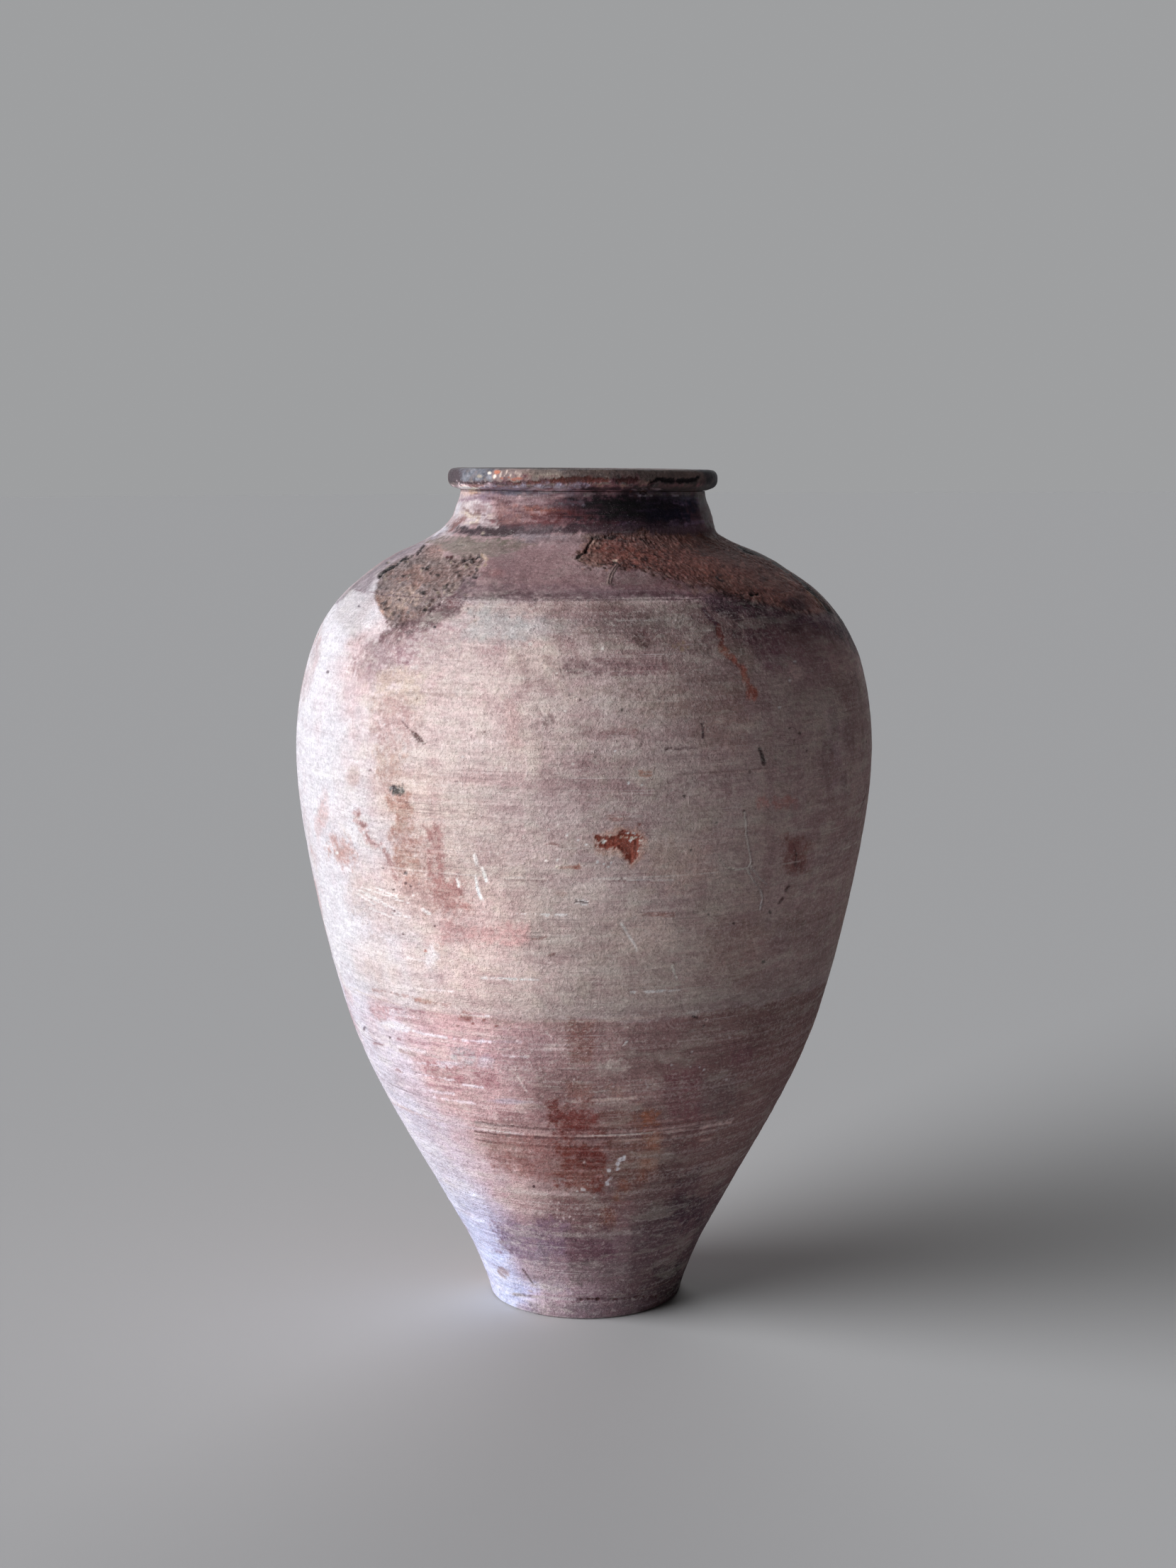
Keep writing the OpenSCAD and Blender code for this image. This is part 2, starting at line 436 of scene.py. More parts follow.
# ---------------------------------------------------------------- brushes
class Canvas:
    """Points of the surface laid out flat: x and y, and how far a brush may reach them."""
    def __init__(self, x, y, reach):
        self.ids = np.where(reach > 0.01)[0]
        self.x, self.y, self.reach = x[self.ids], y[self.ids], reach[self.ids]

    def box(self, x0, x1, y0, y1, pad):
        m = (self.x > x0 - pad) & (self.x < x1 + pad) & (self.y > y0 - pad) & (self.y < y1 + pad)
        k_ = np.where(m)[0]
        return self.ids[k_], self.x[k_], self.y[k_], self.reach[k_]


FACE = Canvas(U, V, FRONT)                                   # the picture's frame, in pixels
ROUND = Canvas(deg * 4.4, -Zs, np.ones(len(S)))              # round the jar, about 1 mm to a unit


def spot(x, y, rx, ry=None, turn=0.0, soft=0.4, warp=0.25, fine=0.1, on=FACE):
    ry = ry or rx
    i, px, py, reach = on.box(x, x, y, y, 1.8 * max(rx, ry) + 4)
    c, s = math.cos(math.radians(turn)), math.sin(math.radians(turn))
    dx, dy = px - x, py - y
    d = np.sqrt(((dx * c + dy * s) / rx) ** 2 + ((-dx * s + dy * c) / ry) ** 2)
    d = d + warp * 0.5 * nB[i] + warp * 0.5 * nA[i] + fine * nF[i]
    return i, sstep(1 + soft, 1 - soft, d) * reach


def line(pts, width, soft=1.0, warp=0.6, fine=0.3, taper=False, on=FACE):
    """A stroke through pts; width is its half width."""
    p = np.asarray(pts, float)
    pad = width + soft + 3 * warp + 4
    i, px, py, reach = on.box(p[:, 0].min(), p[:, 0].max(), p[:, 1].min(), p[:, 1].max(), pad)
    best = np.full(len(i), 1e9)
    pos = np.zeros(len(i))
    total = max(len(p) - 1, 1)
    for k in range(len(p) - 1):
        a_, b_ = p[k], p[k + 1]
        ab = b_ - a_
        t = np.clip(((px - a_[0]) * ab[0] + (py - a_[1]) * ab[1]) / max(ab @ ab, 1e-9), 0, 1)
        d = np.hypot(px - a_[0] - t * ab[0], py - a_[1] - t * ab[1])
        m = d < best
        best[m] = d[m]
        pos[m] = (k + t[m]) / total
    w = width * (1 - 0.75 * np.abs(2 * pos - 1) ** 1.5) if taper else width
    d = best + warp * nA[i] + fine * nF[i]
    return i, sstep(w + soft, np.maximum(w - soft, w * 0.2), d) * reach


def area(pts, soft=4.0, warp=4.0, fine=1.5, mid=0.0, on=FACE):
    """A filled outline with an edge broken by noise. Returns the mask and the depth inside."""
    p = np.asarray(pts, float)
    pad = soft + 2 * warp + 2 * fine + 4
    i, x, y, reach = on.box(p[:, 0].min(), p[:, 0].max(), p[:, 1].min(), p[:, 1].max(), pad)
    inside = np.zeros(len(i), bool)
    best = np.full(len(i), 1e9)
    for k in range(len(p)):
        a_, b_ = p[k], p[(k + 1) % len(p)]
        ab = b_ - a_
        t = np.clip(((x - a_[0]) * ab[0] + (y - a_[1]) * ab[1]) / max(ab @ ab, 1e-9), 0, 1)
        best = np.minimum(best, np.hypot(x - a_[0] - t * ab[0], y - a_[1] - t * ab[1]))
        if a_[1] != b_[1]:
            cross = (a_[1] > y) != (b_[1] > y)
            inside ^= cross & (x < (b_[0] - a_[0]) * (y - a_[1]) / (b_[1] - a_[1]) + a_[0])
    d = np.where(inside, best, -best) + warp * 0.6 * nB[i] + warp * 0.4 * nA[i] + fine * nF[i] + mid
    return i, sstep(-soft, soft, d) * reach, d


# ---------------------------------------------------------------- colours
C = {k: np.array(v) for k, v in {
    "pink": (0.765, 0.675, 0.66), "chalk": (0.87, 0.82, 0.80), "white": (0.93, 0.92, 0.91), "lime": (0.84, 0.85, 0.88),
    "mauve": (0.66, 0.53, 0.53), "rose": (0.70, 0.52, 0.50), "beige": (0.75, 0.69, 0.63), "greige": (0.66, 0.61, 0.57),
    "umber": (0.50, 0.38, 0.35), "brown": (0.42, 0.30, 0.26), "maroon": (0.55, 0.35, 0.34), "purple": (0.45, 0.35, 0.38),
    "plum": (0.33, 0.24, 0.27), "soot": (0.15, 0.14, 0.17), "ink": (0.09, 0.08, 0.10), "slate": (0.38, 0.38, 0.41),
    "sky": (0.67, 0.69, 0.76), "painted_lamp_light_pale": (0.745, 0.74, 0.762), "dusk": (0.60, 0.495, 0.50), "iron": (0.33, 0.31, 0.31),
    "rust": (0.66, 0.41, 0.32), "orange": (0.80, 0.40, 0.25), "tan": (0.64, 0.54, 0.48), "moss": (0.56, 0.55, 0.48)}.items()}

n = len(S)
tint = np.tile(C["pink"], (n, 1))
relief = np.zeros(n)                 # mm, outwards positive
rough = np.zeros(n)                  # broken, grainy clay
fresh = np.zeros(n)                  # the bloom is missing here
drawn = np.zeros(n)                  # strength of the fine lines left by turning


def paint(got, colour, amount=1.0, vary=0.0):
    """A name is the clay's own colour; three numbers are how it looks in the picture's light."""
    i, m = got[0], got[1]
    if vary:
        m = m * np.clip(1 + vary * nA[i] + 0.6 * vary * nF[i], 0, 1.4)
    m = np.clip(m * amount, 0, 1)[:, None]
    c = C[colour] if isinstance(colour, str) else coded(np.clip(linear(np.array(colour))[None] / LUX[i], 0.003, 0.93))
    tint[i] = tint[i] * (1 - m) + c * m
    return got


def carve(got, depth):
    relief[got[0]] -= depth * got[1]
    return got


everywhere = np.arange(n)


def wash(mask, colour, amount=1.0):
    return paint((everywhere, mask), colour, amount)


# broad fields of colour
wash(sstep(-0.2, 1.2, nD), "beige", 0.35)
wash(sstep(0.0, 1.4, nC * 0.7 - nD * 0.5), "mauve", 0.40)
wash(sstep(0.1, 1.3, nH2 * 0.8 + nC * 0.4), "chalk", 0.28)
wash(sstep(0.1, 1.3, -nH2 * 0.7 + nC * 0.5), "mauve", 0.30)
wash(sstep(0.0, 1.1, nV - 0.2 * nC) * sstep(400, 520, Zs), "mauve", 0.32)
wash(sstep(0.1, 1.2, nB + 0.5 * nA), "beige", 0.30)
wash(sstep(0.2, 1.2, -nB + 0.5 * nA), "mauve", 0.28)
wash(sstep(-30, -58, deg + 8 * nC) * sstep(-178, -130, deg), "sky", 0.10)
# the redder zone under the colour step, wandering a little in height
edge = 364 + 3.0 * nC + 1.2 * nB
low = sstep(edge + 2.5, edge - 2.5, Zs)
wash(low, "rose", 0.45)
wash(sstep(edge, edge + 3, Zs) * sstep(edge + 48, edge + 8, Zs), "greige", 0.30)
wash(low * sstep(-30, 25, deg + 6 * nC) * sstep(178, 120, deg), "umber", 0.62)
# the foot's long taper: dustier, with lime on its left
wash(sstep(160, 60, Zs) * sstep(40, 0, deg), "mauve", 0.35)
wash(sstep(250, 120, Zs) * sstep(-0.6, 0.9, nC + 0.5 * nB), "greige", 0.30)
wash(sstep(300, 60, Zs) * sstep(-18, -60, deg + 5 * nC) * sstep(-118, -68, deg + 11 * nC + 5 * nB), "sky", 0.85)
wash(sstep(150, 30, Zs + 12 * nC + 8 * nB) * sstep(110, 160, np.abs(deg) + 10 * nC), "lime", 0.30)
wash(sstep(120, 30, Zs) * sstep(10, 50, deg) * sstep(178, 120, deg), "umber", 0.45)
# shoulder, the right side in shade and the left side towards the lamp
wash(sstep(768, 800, Zs + 4 * nC), "dusk", 0.85)
fresh[:] = np.maximum(fresh, 0.55 * sstep(766, 792, Zs + 4 * nC))
fresh[:] = np.maximum(fresh, 0.9 * sstep(842, 850, Zs + 2 * nB) * sstep(-22, -6, deg + 3 * nB))
fresh[:] = np.maximum(fresh, 0.85 * sstep(876, 878, Zs))
# painted shade, in part: an umber wash darkens the right side, which is also darker clay
wash(sstep(30, 75, deg + 8 * nC) * sstep(175, 120, deg) * sstep(330, 420, Zs), "umber", 0.22)
# painted light: a pale bluish wash on the side towards the lamp, as its lit edge looks
wash(sstep(-32, -62, deg + 6 * nC) * sstep(-116, -68, deg + 11 * nC + 5 * nB) * sstep(810, 770, Zs), "painted_lamp_light_pale", 0.88)
fresh[:] = np.maximum(fresh, 0.5 * sstep(-34, -60, deg) * sstep(-178, -120, deg) * sstep(810, 770, Zs) * sstep(330, 420, Zs))

# strength of the turning lines: faint on the body, strong low down where the comb marks are
drawn[:] = 0.50 + 0.35 * sstep(-0.2, 0.9, nC)
drawn += 0.75 * sstep(345, 300, Zs) * sstep(150, 215, Zs)
drawn += 0.30 * sstep(360, 340, Zs)
drawn = np.clip(drawn, 0, 1)


def dab(x, y, rx, ry, colour, amount=1.0, turn=0.0, soft=0.4, warp=0.25, fine=0.1, vary=0.0, on=FACE):
    return paint(spot(x, y, rx, ry, turn, soft, warp, fine, on), colour, amount, vary)


def stroke(pts, width, colour, amount=1.0, soft=0.8, warp=0.5, fine=0.2, taper=False, vary=0.0, on=FACE):
    return paint(line(pts, width, soft, warp, fine, taper, on), colour, amount, vary)


def patch(pts, colour, amount=1.0, soft=3.0, warp=4.0, fine=1.5, vary=0.0, mid=0.0, on=FACE):
    return paint(area(pts, soft, warp, fine, mid, on), colour, amount, vary)


def streak(x0, x1, y, h, colour, amount=0.8, run=10.0, vary=0.25, dip=0.0, on=FACE):
    """A stain smeared round the jar: long soft ends, streaky top and bottom edge. dip: its ends lie lower."""
    i_, px, py, reach = on.box(x0, x1, y, y, 3 * run + h + 12)
    mid_, half_ = (x0 + x1) / 2, max((x1 - x0) / 2, 1)
    yy = y + dip * ((px - mid_) / half_) ** 2
    ex = half_ - np.abs(px - mid_) + run * (0.7 * nB[i_] + 0.5 * nA[i_])
    ey = h / 2 - np.abs(py - yy) + 0.22 * h * nH2[i_] + 0.16 * h * nA[i_] + 0.6 * nF[i_]
    return paint((i_, sstep(-run, run, ex) * sstep(-0.22 * h - 0.8, 0.22 * h + 0.8, ey) * reach), colour, amount, vary)


def flecks(count, x0, x1, y0, y1, r0, r1, colour, amount, long=1.0, turn=0.0, on=FACE):
    for _ in range(count):
        r = r0 + (r1 - r0) * rng.random() ** 2
        dab(x0 + (x1 - x0) * rng.random(), y0 + (y1 - y0) * rng.random(), r * long, r, colour,
            amount * (0.6 + 0.4 * rng.random()), turn + 30 * (rng.random() - 0.5), 0.5, 0.5, 0.3, on=on)


# ---- rim
rim = WHO[S] == names.index("rim_roll")
neck = (WHO[S] == names.index("neck_collar")) | (WHO[S] == names.index("slip_ring_rim"))
wash(rim * 1.0, "iron", 0.92)
wash(rim * sstep(0.0, 0.8, nB + 0.4 * nA), "slate", 0.45)
wash(rim * sstep(0.3, 1.0, nC - 0.5 * nB), "tan", 0.35)
wash(rim * sstep(882.5, 880, Zs), "plum", 0.7)
patch([(626, 655), (657, 655), (654, 684), (626, 684)], (0.29, 0.25, 0.28), 0.9, 3, 4)
patch([(650, 656), (700, 656), (694, 681), (650, 681)], (0.40, 0.42, 0.46), 0.8, 4, 5, vary=0.5)
flecks(14, 655, 692, 661, 677, 1.5, 4.0, (0.56, 0.58, 0.62), 0.7)
flecks(10, 655, 700, 661, 679, 1.2, 3.0, (0.25, 0.26, 0.30), 0.7)
dab(676, 672, 4, 3, (0.66, 0.62, 0.55), 0.7)
patch([(694, 660), (748, 661), (748, 677), (694, 678)], (0.50, 0.445, 0.44), 0.85, 4, 4, vary=0.4)
streak(738, 846, 668, 11, (0.46, 0.405, 0.385), 0.85, 8, 0.3)
streak(745, 800, 671, 5, (0.56, 0.50, 0.46), 0.6, 8, 0.4)
streak(822, 915, 667, 14, (0.375, 0.32, 0.295), 0.9, 10, 0.3)
streak(896, 1014, 669, 20, (0.295, 0.26, 0.24), 0.95, 10, 0.2)
dab(701, 665.5, 4.5, 2.8, (0.74, 0.46, 0.36), 0.85, 0, 0.4, 0.6)
dab(697, 672, 2.6, 2.8, (0.90, 0.87, 0.82), 0.9, 0, 0.4, 0.6)
dab(691, 667, 2.2, 1.8, (0.86, 0.84, 0.80), 0.85, 0, 0.4, 0.6)
for x_, y_, l_ in ((706, 669, 4.5), (711, 672, 3.5), (714, 667, 4.0), (720, 670, 3.0), (727, 666, 3.0), (732, 671, 2.4)):
    dab(x_, y_, 1.3, l_, (0.82, 0.76, 0.72), 0.75, 18, 0.4, 0.7)
dab(730, 668.5, 6, 3.0, (0.66, 0.60, 0.57), 0.7, 0, 0.5, 0.7)
for x_, y_, r_ in ((709, 675, 4), (717, 673.5, 2.4), (733, 675, 6), (741, 672, 3.4), (724, 676.5, 3)):
    dab(x_, y_, r_, 1.5, (0.62, 0.38, 0.32), 0.8, 4, 0.5, 0.7)
streak(690, 1004, 658.8, 3.2, (0.30, 0.32, 0.32), 0.75, 8, 0.3)
streak(634, 692, 659.5, 2.8, (0.34, 0.35, 0.36), 0.6, 8, 0.3)
flecks(20, 745, 900, 662, 676, 1.0, 2.4, (0.30, 0.25, 0.24), 0.6, 2.0)
flecks(14, 745, 900, 662, 674, 1.0, 2.2, (0.60, 0.55, 0.51), 0.55, 2.0)
# its shaded underside: purple brown, then a dark red brown scar
patch([(640, 679.5), (700, 679), (722, 680), (722, 686), (700, 685.5), (655, 684)], (0.23, 0.16, 0.18), 0.95, 1.5, 1.5)
scar = patch([(714, 681), (745, 678.5), (775, 676), (800, 674), (832, 672.5), (857, 673.5), (862, 677), (856, 682.5), (820, 682.5), (780, 683.5), (745, 686), (716, 687)],
             (0.31, 0.13, 0.10), 0.95, 1.4, 2.0, 1.2)
carve(scar, 0.9)
scar = patch([(866, 676), (880, 673.5), (900, 674.5), (903, 677), (895, 682.5), (872, 683)], (0.19, 0.08, 0.075), 0.95, 1.3, 2.0, 1.0)
carve(scar, 0.9)
stroke([(652, 685.5), (690, 687), (722, 688)], 1.8, (0.55, 0.39, 0.39), 0.7, 1.2, 0.8)
stroke([(722, 689), (790, 687.5), (840, 686), (885, 686.5)], 3.0, (0.41, 0.36, 0.33), 0.8, 1.5, 1.0, vary=0.3)
stroke([(840, 686.5), (880, 687)], 2.2, (0.46, 0.37, 0.31), 0.7, 1.2, 0.8)
crack = stroke([(902, 692), (909, 694), (914, 689), (921, 681), (929, 676), (940, 676.5), (955, 678), (972, 676.5), (984, 674)], 2.3, (0.045, 0.03, 0.035), 1.0, 0.9, 1.2, 0.5)
carve(crack, 1.8)
stroke([(935, 678), (960, 679.5), (975, 677)], 3.0, (0.06, 0.04, 0.05), 0.95, 1.2, 1.5)
patch([(901, 679), (914, 677), (921, 678), (913, 687), (905, 691), (898, 684)], (0.36, 0.29, 0.26), 0.85, 1.5, 1.2)
patch([(925, 684), (985, 681), (1006, 680), (994, 690), (960, 696), (925, 694)], (0.19, 0.155, 0.145), 0.8, 3, 3, vary=0.3)

# ---- neck
wash(neck * 1.0, "mauve", 0.5)
around = np.abs((deg - 125 + 180) % 360 - 180)            # degrees away from the sooty side
wash(sstep(832, 842, Zs + 3 * nB) * sstep(80, 30, around + 12 * nC), "slate", 0.75)
wash(sstep(832, 842, Zs + 3 * nB) * sstep(70, 20, around + 14 * nC + 10 * nA), "soot", 0.55)
wash(neck * sstep(0.0, 1.0, nV) * sstep(100, 130, np.abs(deg)), "umber", 0.6)
patch([(628, 684), (690, 684), (694, 700), (690, 742), (632, 748), (600, 765)], (0.82, 0.76, 0.78), 0.85, 5, 8, 3, vary=0.2)
patch([(650, 687), (676, 687), (679, 697), (668, 701), (655, 699), (650, 695)], (0.90, 0.79, 0.77), 0.9, 2, 3, 1.5)
dab(668, 693, 6, 3, (0.86, 0.70, 0.60), 0.7, 0, 0.6, 0.8)
# stained front, from mauve grey through red brown to nearly black
streak(700, 1000, 722, 62, (0.36, 0.24, 0.26), 0.95, 10, 0.1)
patch([(800, 696), (870, 690), (978, 700), (996, 712), (1000, 745), (1004, 756), (900, 756), (830, 750), (790, 730)], (0.15, 0.095, 0.12), 0.95, 10, 3, 1)
streak(676, 832, 693, 15, (0.45, 0.42, 0.475), 0.85, 8, 0.4)
streak(664, 704, 699, 8, (0.58, 0.48, 0.56), 0.6, 6, 0.5)
streak(700, 774, 706, 13, (0.52, 0.405, 0.425), 0.8, 9, 0.4)
streak(702, 742, 721, 18, (0.585, 0.43, 0.43), 0.85, 8, 0.4)
streak(712, 758, 733, 12, (0.52, 0.37, 0.37), 0.75, 9, 0.4)
streak(735, 835, 722, 15, (0.43, 0.24, 0.225), 0.9, 12, 0.35)
streak(742, 800, 719, 6, (0.54, 0.32, 0.28), 0.65, 9, 0.5)
streak(745, 850, 733, 13, (0.36, 0.195, 0.205), 0.85, 12, 0.3)
streak(806, 900, 722, 40, (0.235, 0.105, 0.13), 0.9, 14, 0.2)
streak(788, 850, 728, 10, (0.33, 0.14, 0.15), 0.7, 12, 0.4)
streak(812, 986, 708, 22, (0.085, 0.05, 0.075), 0.93, 12, 0.15)
streak(838, 984, 724, 26, (0.075, 0.045, 0.07), 0.92, 14, 0.15)
streak(880, 984, 716, 34, (0.045, 0.035, 0.06), 0.9, 14, 0.1)
streak(916, 976, 726, 26, (0.045, 0.045, 0.10), 0.75, 8, 0.2)
streak(822, 900, 738, 11, (0.19, 0.09, 0.115), 0.8, 12, 0.3)
streak(866, 985, 741, 10, (0.13, 0.09, 0.12), 0.85, 12, 0.3)
streak(780, 826, 708, 11, (0.44, 0.455, 0.475), 0.85, 4, 0.5)
streak(770, 800, 714, 5, (0.42, 0.36, 0.38), 0.7, 4, 0.5)
streak(700, 760, 694, 6, (0.36, 0.33, 0.39), 0.5, 6, 0.5)
streak(740, 800, 690, 5, (0.55, 0.52, 0.55), 0.5, 6, 0.5)
streak(826, 900, 693, 7, (0.18, 0.12, 0.14), 0.85, 8, 0.4)
streak(900, 980, 694, 11, (0.19, 0.165, 0.165), 0.85, 8, 0.4)
streak(930, 976, 702, 5, (0.115, 0.105, 0.13), 0.7, 8, 0.4)
patch([(982, 690), (1004, 682), (1000, 700), (1004, 735), (1018, 752), (1000, 750), (988, 730), (985, 708)], (0.235, 0.225, 0.225), 0.9, 4, 3, 1, vary=0.2)
# the pale left part, marbled
for x_, y_, rx_, ry_, t_, c_ in ((661, 711, 11, 4, -25, (0.90, 0.85, 0.86)), (676, 716, 7, 4, 20, (0.66, 0.55, 0.57)), (655, 722, 9, 3, -15, (0.84, 0.77, 0.73)), (672, 728, 12, 4, 5, (0.92, 0.85, 0.77)),
                                 (690, 728, 7, 5, 10, (0.86, 0.79, 0.76)), (668, 737, 9, 2.6, -5, (0.90, 0.84, 0.78)), (650, 733, 6, 3, -30, (0.58, 0.43, 0.43)), (684, 705, 7, 4, 0, (0.60, 0.50, 0.56)),
                                 (690, 715, 6, 3, 30, (0.87, 0.82, 0.83)), (700, 727, 6, 4, 0, (0.68, 0.56, 0.56)), (641, 741, 7, 3, -40, (0.52, 0.36, 0.36)), (645, 718, 5, 8, 20, (0.90, 0.89, 0.93)),
                                 (706, 716, 5, 7, 0, (0.66, 0.51, 0.50)), (660, 704, 9, 2, -8, (0.62, 0.52, 0.58))):
    dab(x_, y_, rx_, ry_, c_, 0.75, t_, 0.6, 0.9, 0.4)
dab(696, 737, 9, 6, (0.80, 0.78, 0.78), 0.65, 0, 0.6, 0.8, 0.3)
dab(695, 735, 4.5, 3, (0.60, 0.40, 0.42), 0.8, 0, 0.5, 0.7)
stroke([(688, 743), (698, 744.5), (706, 738)], 1.6, (0.86, 0.84, 0.84), 0.6, 1.0, 1.4, 0.8)
stroke([(652, 716), (660, 720), (665, 726), (675, 724)], 1.2, (0.45, 0.33, 0.34), 0.6, 0.9, 1.6, 0.8)
stroke([(628, 745), (618, 752), (605, 761)], 3.5, (0.90, 0.92, 0.98), 0.7, 2.5, 1.0)
dab(827.5, 696.5, 4.5, 2.6, (0.33, 0.30, 0.28), 0.85, 0, 0.5, 0.6)
for x_, y_, r_, c_ in ((890, 693, 2.4, (0.30, 0.16, 0.15)), (896, 700, 2.6, (0.25, 0.15, 0.15)), (915, 698, 3.0, (0.22, 0.19, 0.18)), (928, 709, 4.0, (0.14, 0.13, 0.16)), (905, 700, 2.2, (0.20, 0.17, 0.16)),
                       (860, 696, 2.5, (0.24, 0.15, 0.15)), (850, 702, 2.2, (0.20, 0.14, 0.15)), (872, 705, 2.0, (0.18, 0.13, 0.14))):
    dab(x_, y_, r_, r_ * 0.6, c_, 0.85, 0, 0.5, 0.6)
flecks(16, 840, 975, 698, 738, 0.8, 1.8, (0.17, 0.14, 0.16), 0.6)

# thin drawn-out marks of the wiped stain, along the turning of the neck
flecks(70, 668, 800, 690, 744, 0.8, 1.8, (0.62, 0.50, 0.52), 0.5, 7.0, 2)
flecks(60, 668, 800, 690, 744, 0.8, 1.7, (0.30, 0.17, 0.19), 0.5, 7.0, 2)
flecks(70, 790, 880, 690, 738, 0.8, 1.7, (0.42, 0.30, 0.33), 0.5, 8.0, 2)
flecks(60, 790, 990, 690, 742, 0.8, 1.7, (0.06, 0.04, 0.07), 0.6, 8.0, 3)
flecks(46, 870, 990, 690, 742, 0.8, 1.6, (0.24, 0.20, 0.26), 0.5, 8.0, 3)
flecks(30, 700, 960, 688, 700, 0.8, 1.6, (0.58, 0.52, 0.54), 0.5, 5.0, 1)


# ---- foot of the neck
streak(640, 812, 751, 14, (0.29, 0.235, 0.26), 0.92, 12, 0.25, -4)
streak(690, 742, 752, 9, (0.245, 0.20, 0.215), 0.7, 10, 0.3)
streak(738, 792, 746, 8, (0.42, 0.36, 0.38), 0.6, 9, 0.4)
streak(784, 870, 748, 10, (0.235, 0.175, 0.20), 0.8, 12, 0.3)
streak(812, 884, 757, 10, (0.36, 0.29, 0.265), 0.7, 10, 0.4)
streak(850, 1010, 750, 13, (0.16, 0.115, 0.14), 0.95, 8, 0.15)
streak(800, 870, 745, 10, (0.22, 0.15, 0.175), 0.8, 8, 0.2)
streak(636, 752, 767, 16, (0.43, 0.395, 0.36), 0.85, 12, 0.25, -3)
streak(640, 720, 776, 6, (0.48, 0.43, 0.40), 0.6, 10, 0.3)
streak(724, 800, 759, 14, (0.52, 0.47, 0.495), 0.8, 10, 0.4)
streak(760, 830, 762, 9, (0.44, 0.36, 0.37), 0.6, 10, 0.4)
dab(681, 752, 2.6, 2.0, (0.80, 0.74, 0.66), 0.9)
stroke([(679, 754.5), (684, 755)], 1.0, (0.12, 0.09, 0.09), 0.9)
dab(649, 766, 3.2, 2.2, (0.82, 0.76, 0.68), 0.9)
carve(stroke([(645, 768), (653, 768)], 1.2, (0.10, 0.08, 0.08), 0.95), 0.8)
dab(641, 771, 2.0, 1.2, (0.12, 0.08, 0.08), 0.9)
dab(648, 761, 3.0, 1.2, (0.15, 0.11, 0.12), 0.7)
patch([(690, 778), (735, 772), (800, 770), (815, 785), (815, 830), (700, 838), (672, 815), (686, 795)], (0.51, 0.41, 0.42), 0.7, 9, 6, vary=0.2)
streak(690, 860, 818, 20, (0.46, 0.365, 0.375), 0.6, 16, 0.25)
streak(820, 980, 826, 20, (0.40, 0.305, 0.315), 0.6, 16, 0.25)
dab(700, 808, 10, 5, (0.54, 0.39, 0.39), 0.55, 0, 0.7)
flecks(26, 690, 860, 780, 835, 1.0, 1.8, (0.30, 0.22, 0.23), 0.55)
flecks(18, 690, 860, 780, 835, 1.0, 1.8, (0.68, 0.58, 0.57), 0.5)

# ---- flaked patch on the left of the shoulder
flake_l = [(534, 812), (530, 831), (529, 840), (533, 852), (540, 866), (545, 879), (556, 884), (571, 883), (590, 876), (599, 866), (608, 861),
           (613, 853), (625, 846), (637, 838), (647, 829), (655, 818), (663, 814), (671, 813), (674, 804), (681, 795), (687, 789), (680, 783),
           (672, 783), (659, 787), (648, 788), (640, 785), (629, 784), (622, 777), (618, 767), (607, 768), (599, 770), (589, 781), (574, 785.5), (561, 792), (545, 803)]
patch([(470, 868), (500, 818), (545, 792), (600, 758), (640, 745), (640, 757), (612, 768), (589, 779), (560, 792), (534, 810), (528, 835), (520, 870), (500, 905)], (0.80, 0.77, 0.79), 0.6, 6, 5)
patch([(498, 828), (545, 788), (600, 757), (622, 752), (612, 763), (588, 777), (560, 790), (532, 810), (515, 838)], (0.58, 0.53, 0.565), 0.85, 4, 3, vary=0.15)
patch([(600, 765), (640, 757), (690, 768), (735, 775), (700, 785), (665, 783), (640, 783), (620, 775)], (0.49, 0.44, 0.42), 0.85, 3, 4, vary=0.3)
got = patch(flake_l, (0.535, 0.465, 0.465), 0.97, 1.6, 3.0, 1.6)
i_, m_, d_ = got
rough[i_] = np.maximum(rough[i_], 0.8 * m_)
fresh[i_] = np.maximum(fresh[i_], 0.75 * m_)
relief[i_] -= m_ * (1.2 + 0.8 * sstep(0, 12, d_)) + m_ * (0.85 * nA[i_] + 0.60 * nF[i_] + 0.6 * nB[i_])
patch([(552, 828), (580, 822), (592, 838), (585, 856), (565, 864), (548, 850)], (0.74, 0.64, 0.60), 0.75, 7, 6, vary=0.6)
patch([(530, 835), (548, 838), (560, 868), (548, 880), (536, 858)], (0.66, 0.55, 0.51), 0.6, 5, 5, vary=0.5)
patch([(625, 816), (660, 812), (655, 828), (632, 840), (620, 832)], (0.62, 0.55, 0.52), 0.6, 5, 5, vary=0.6)
patch([(598, 770), (620, 768), (628, 782), (610, 788), (598, 782)], (0.60, 0.47, 0.45), 0.6, 4, 4, vary=0.4)
patch([(548, 800), (600, 780), (680, 788), (672, 806), (600, 812), (560, 826), (540, 822)], (0.47, 0.41, 0.40), 0.5, 7, 6, vary=0.5)
patch([(545, 806), (585, 796), (610, 805), (600, 822), (560, 820)], (0.60, 0.46, 0.43), 0.5, 6, 6, vary=0.6)
patch([(600, 800), (640, 792), (676, 792), (668, 808), (640, 826), (610, 846), (596, 850), (600, 822)], (0.47, 0.37, 0.36), 0.6, 6, 6, vary=0.5)
patch([(560, 862), (590, 856), (604, 852), (600, 866), (575, 878), (556, 880)], (0.55, 0.43, 0.41), 0.6, 4, 5, vary=0.5)
flecks(70, 536, 680, 786, 880, 1.0, 2.6, (0.17, 0.14, 0.14), 0.8, 1.3, -30)
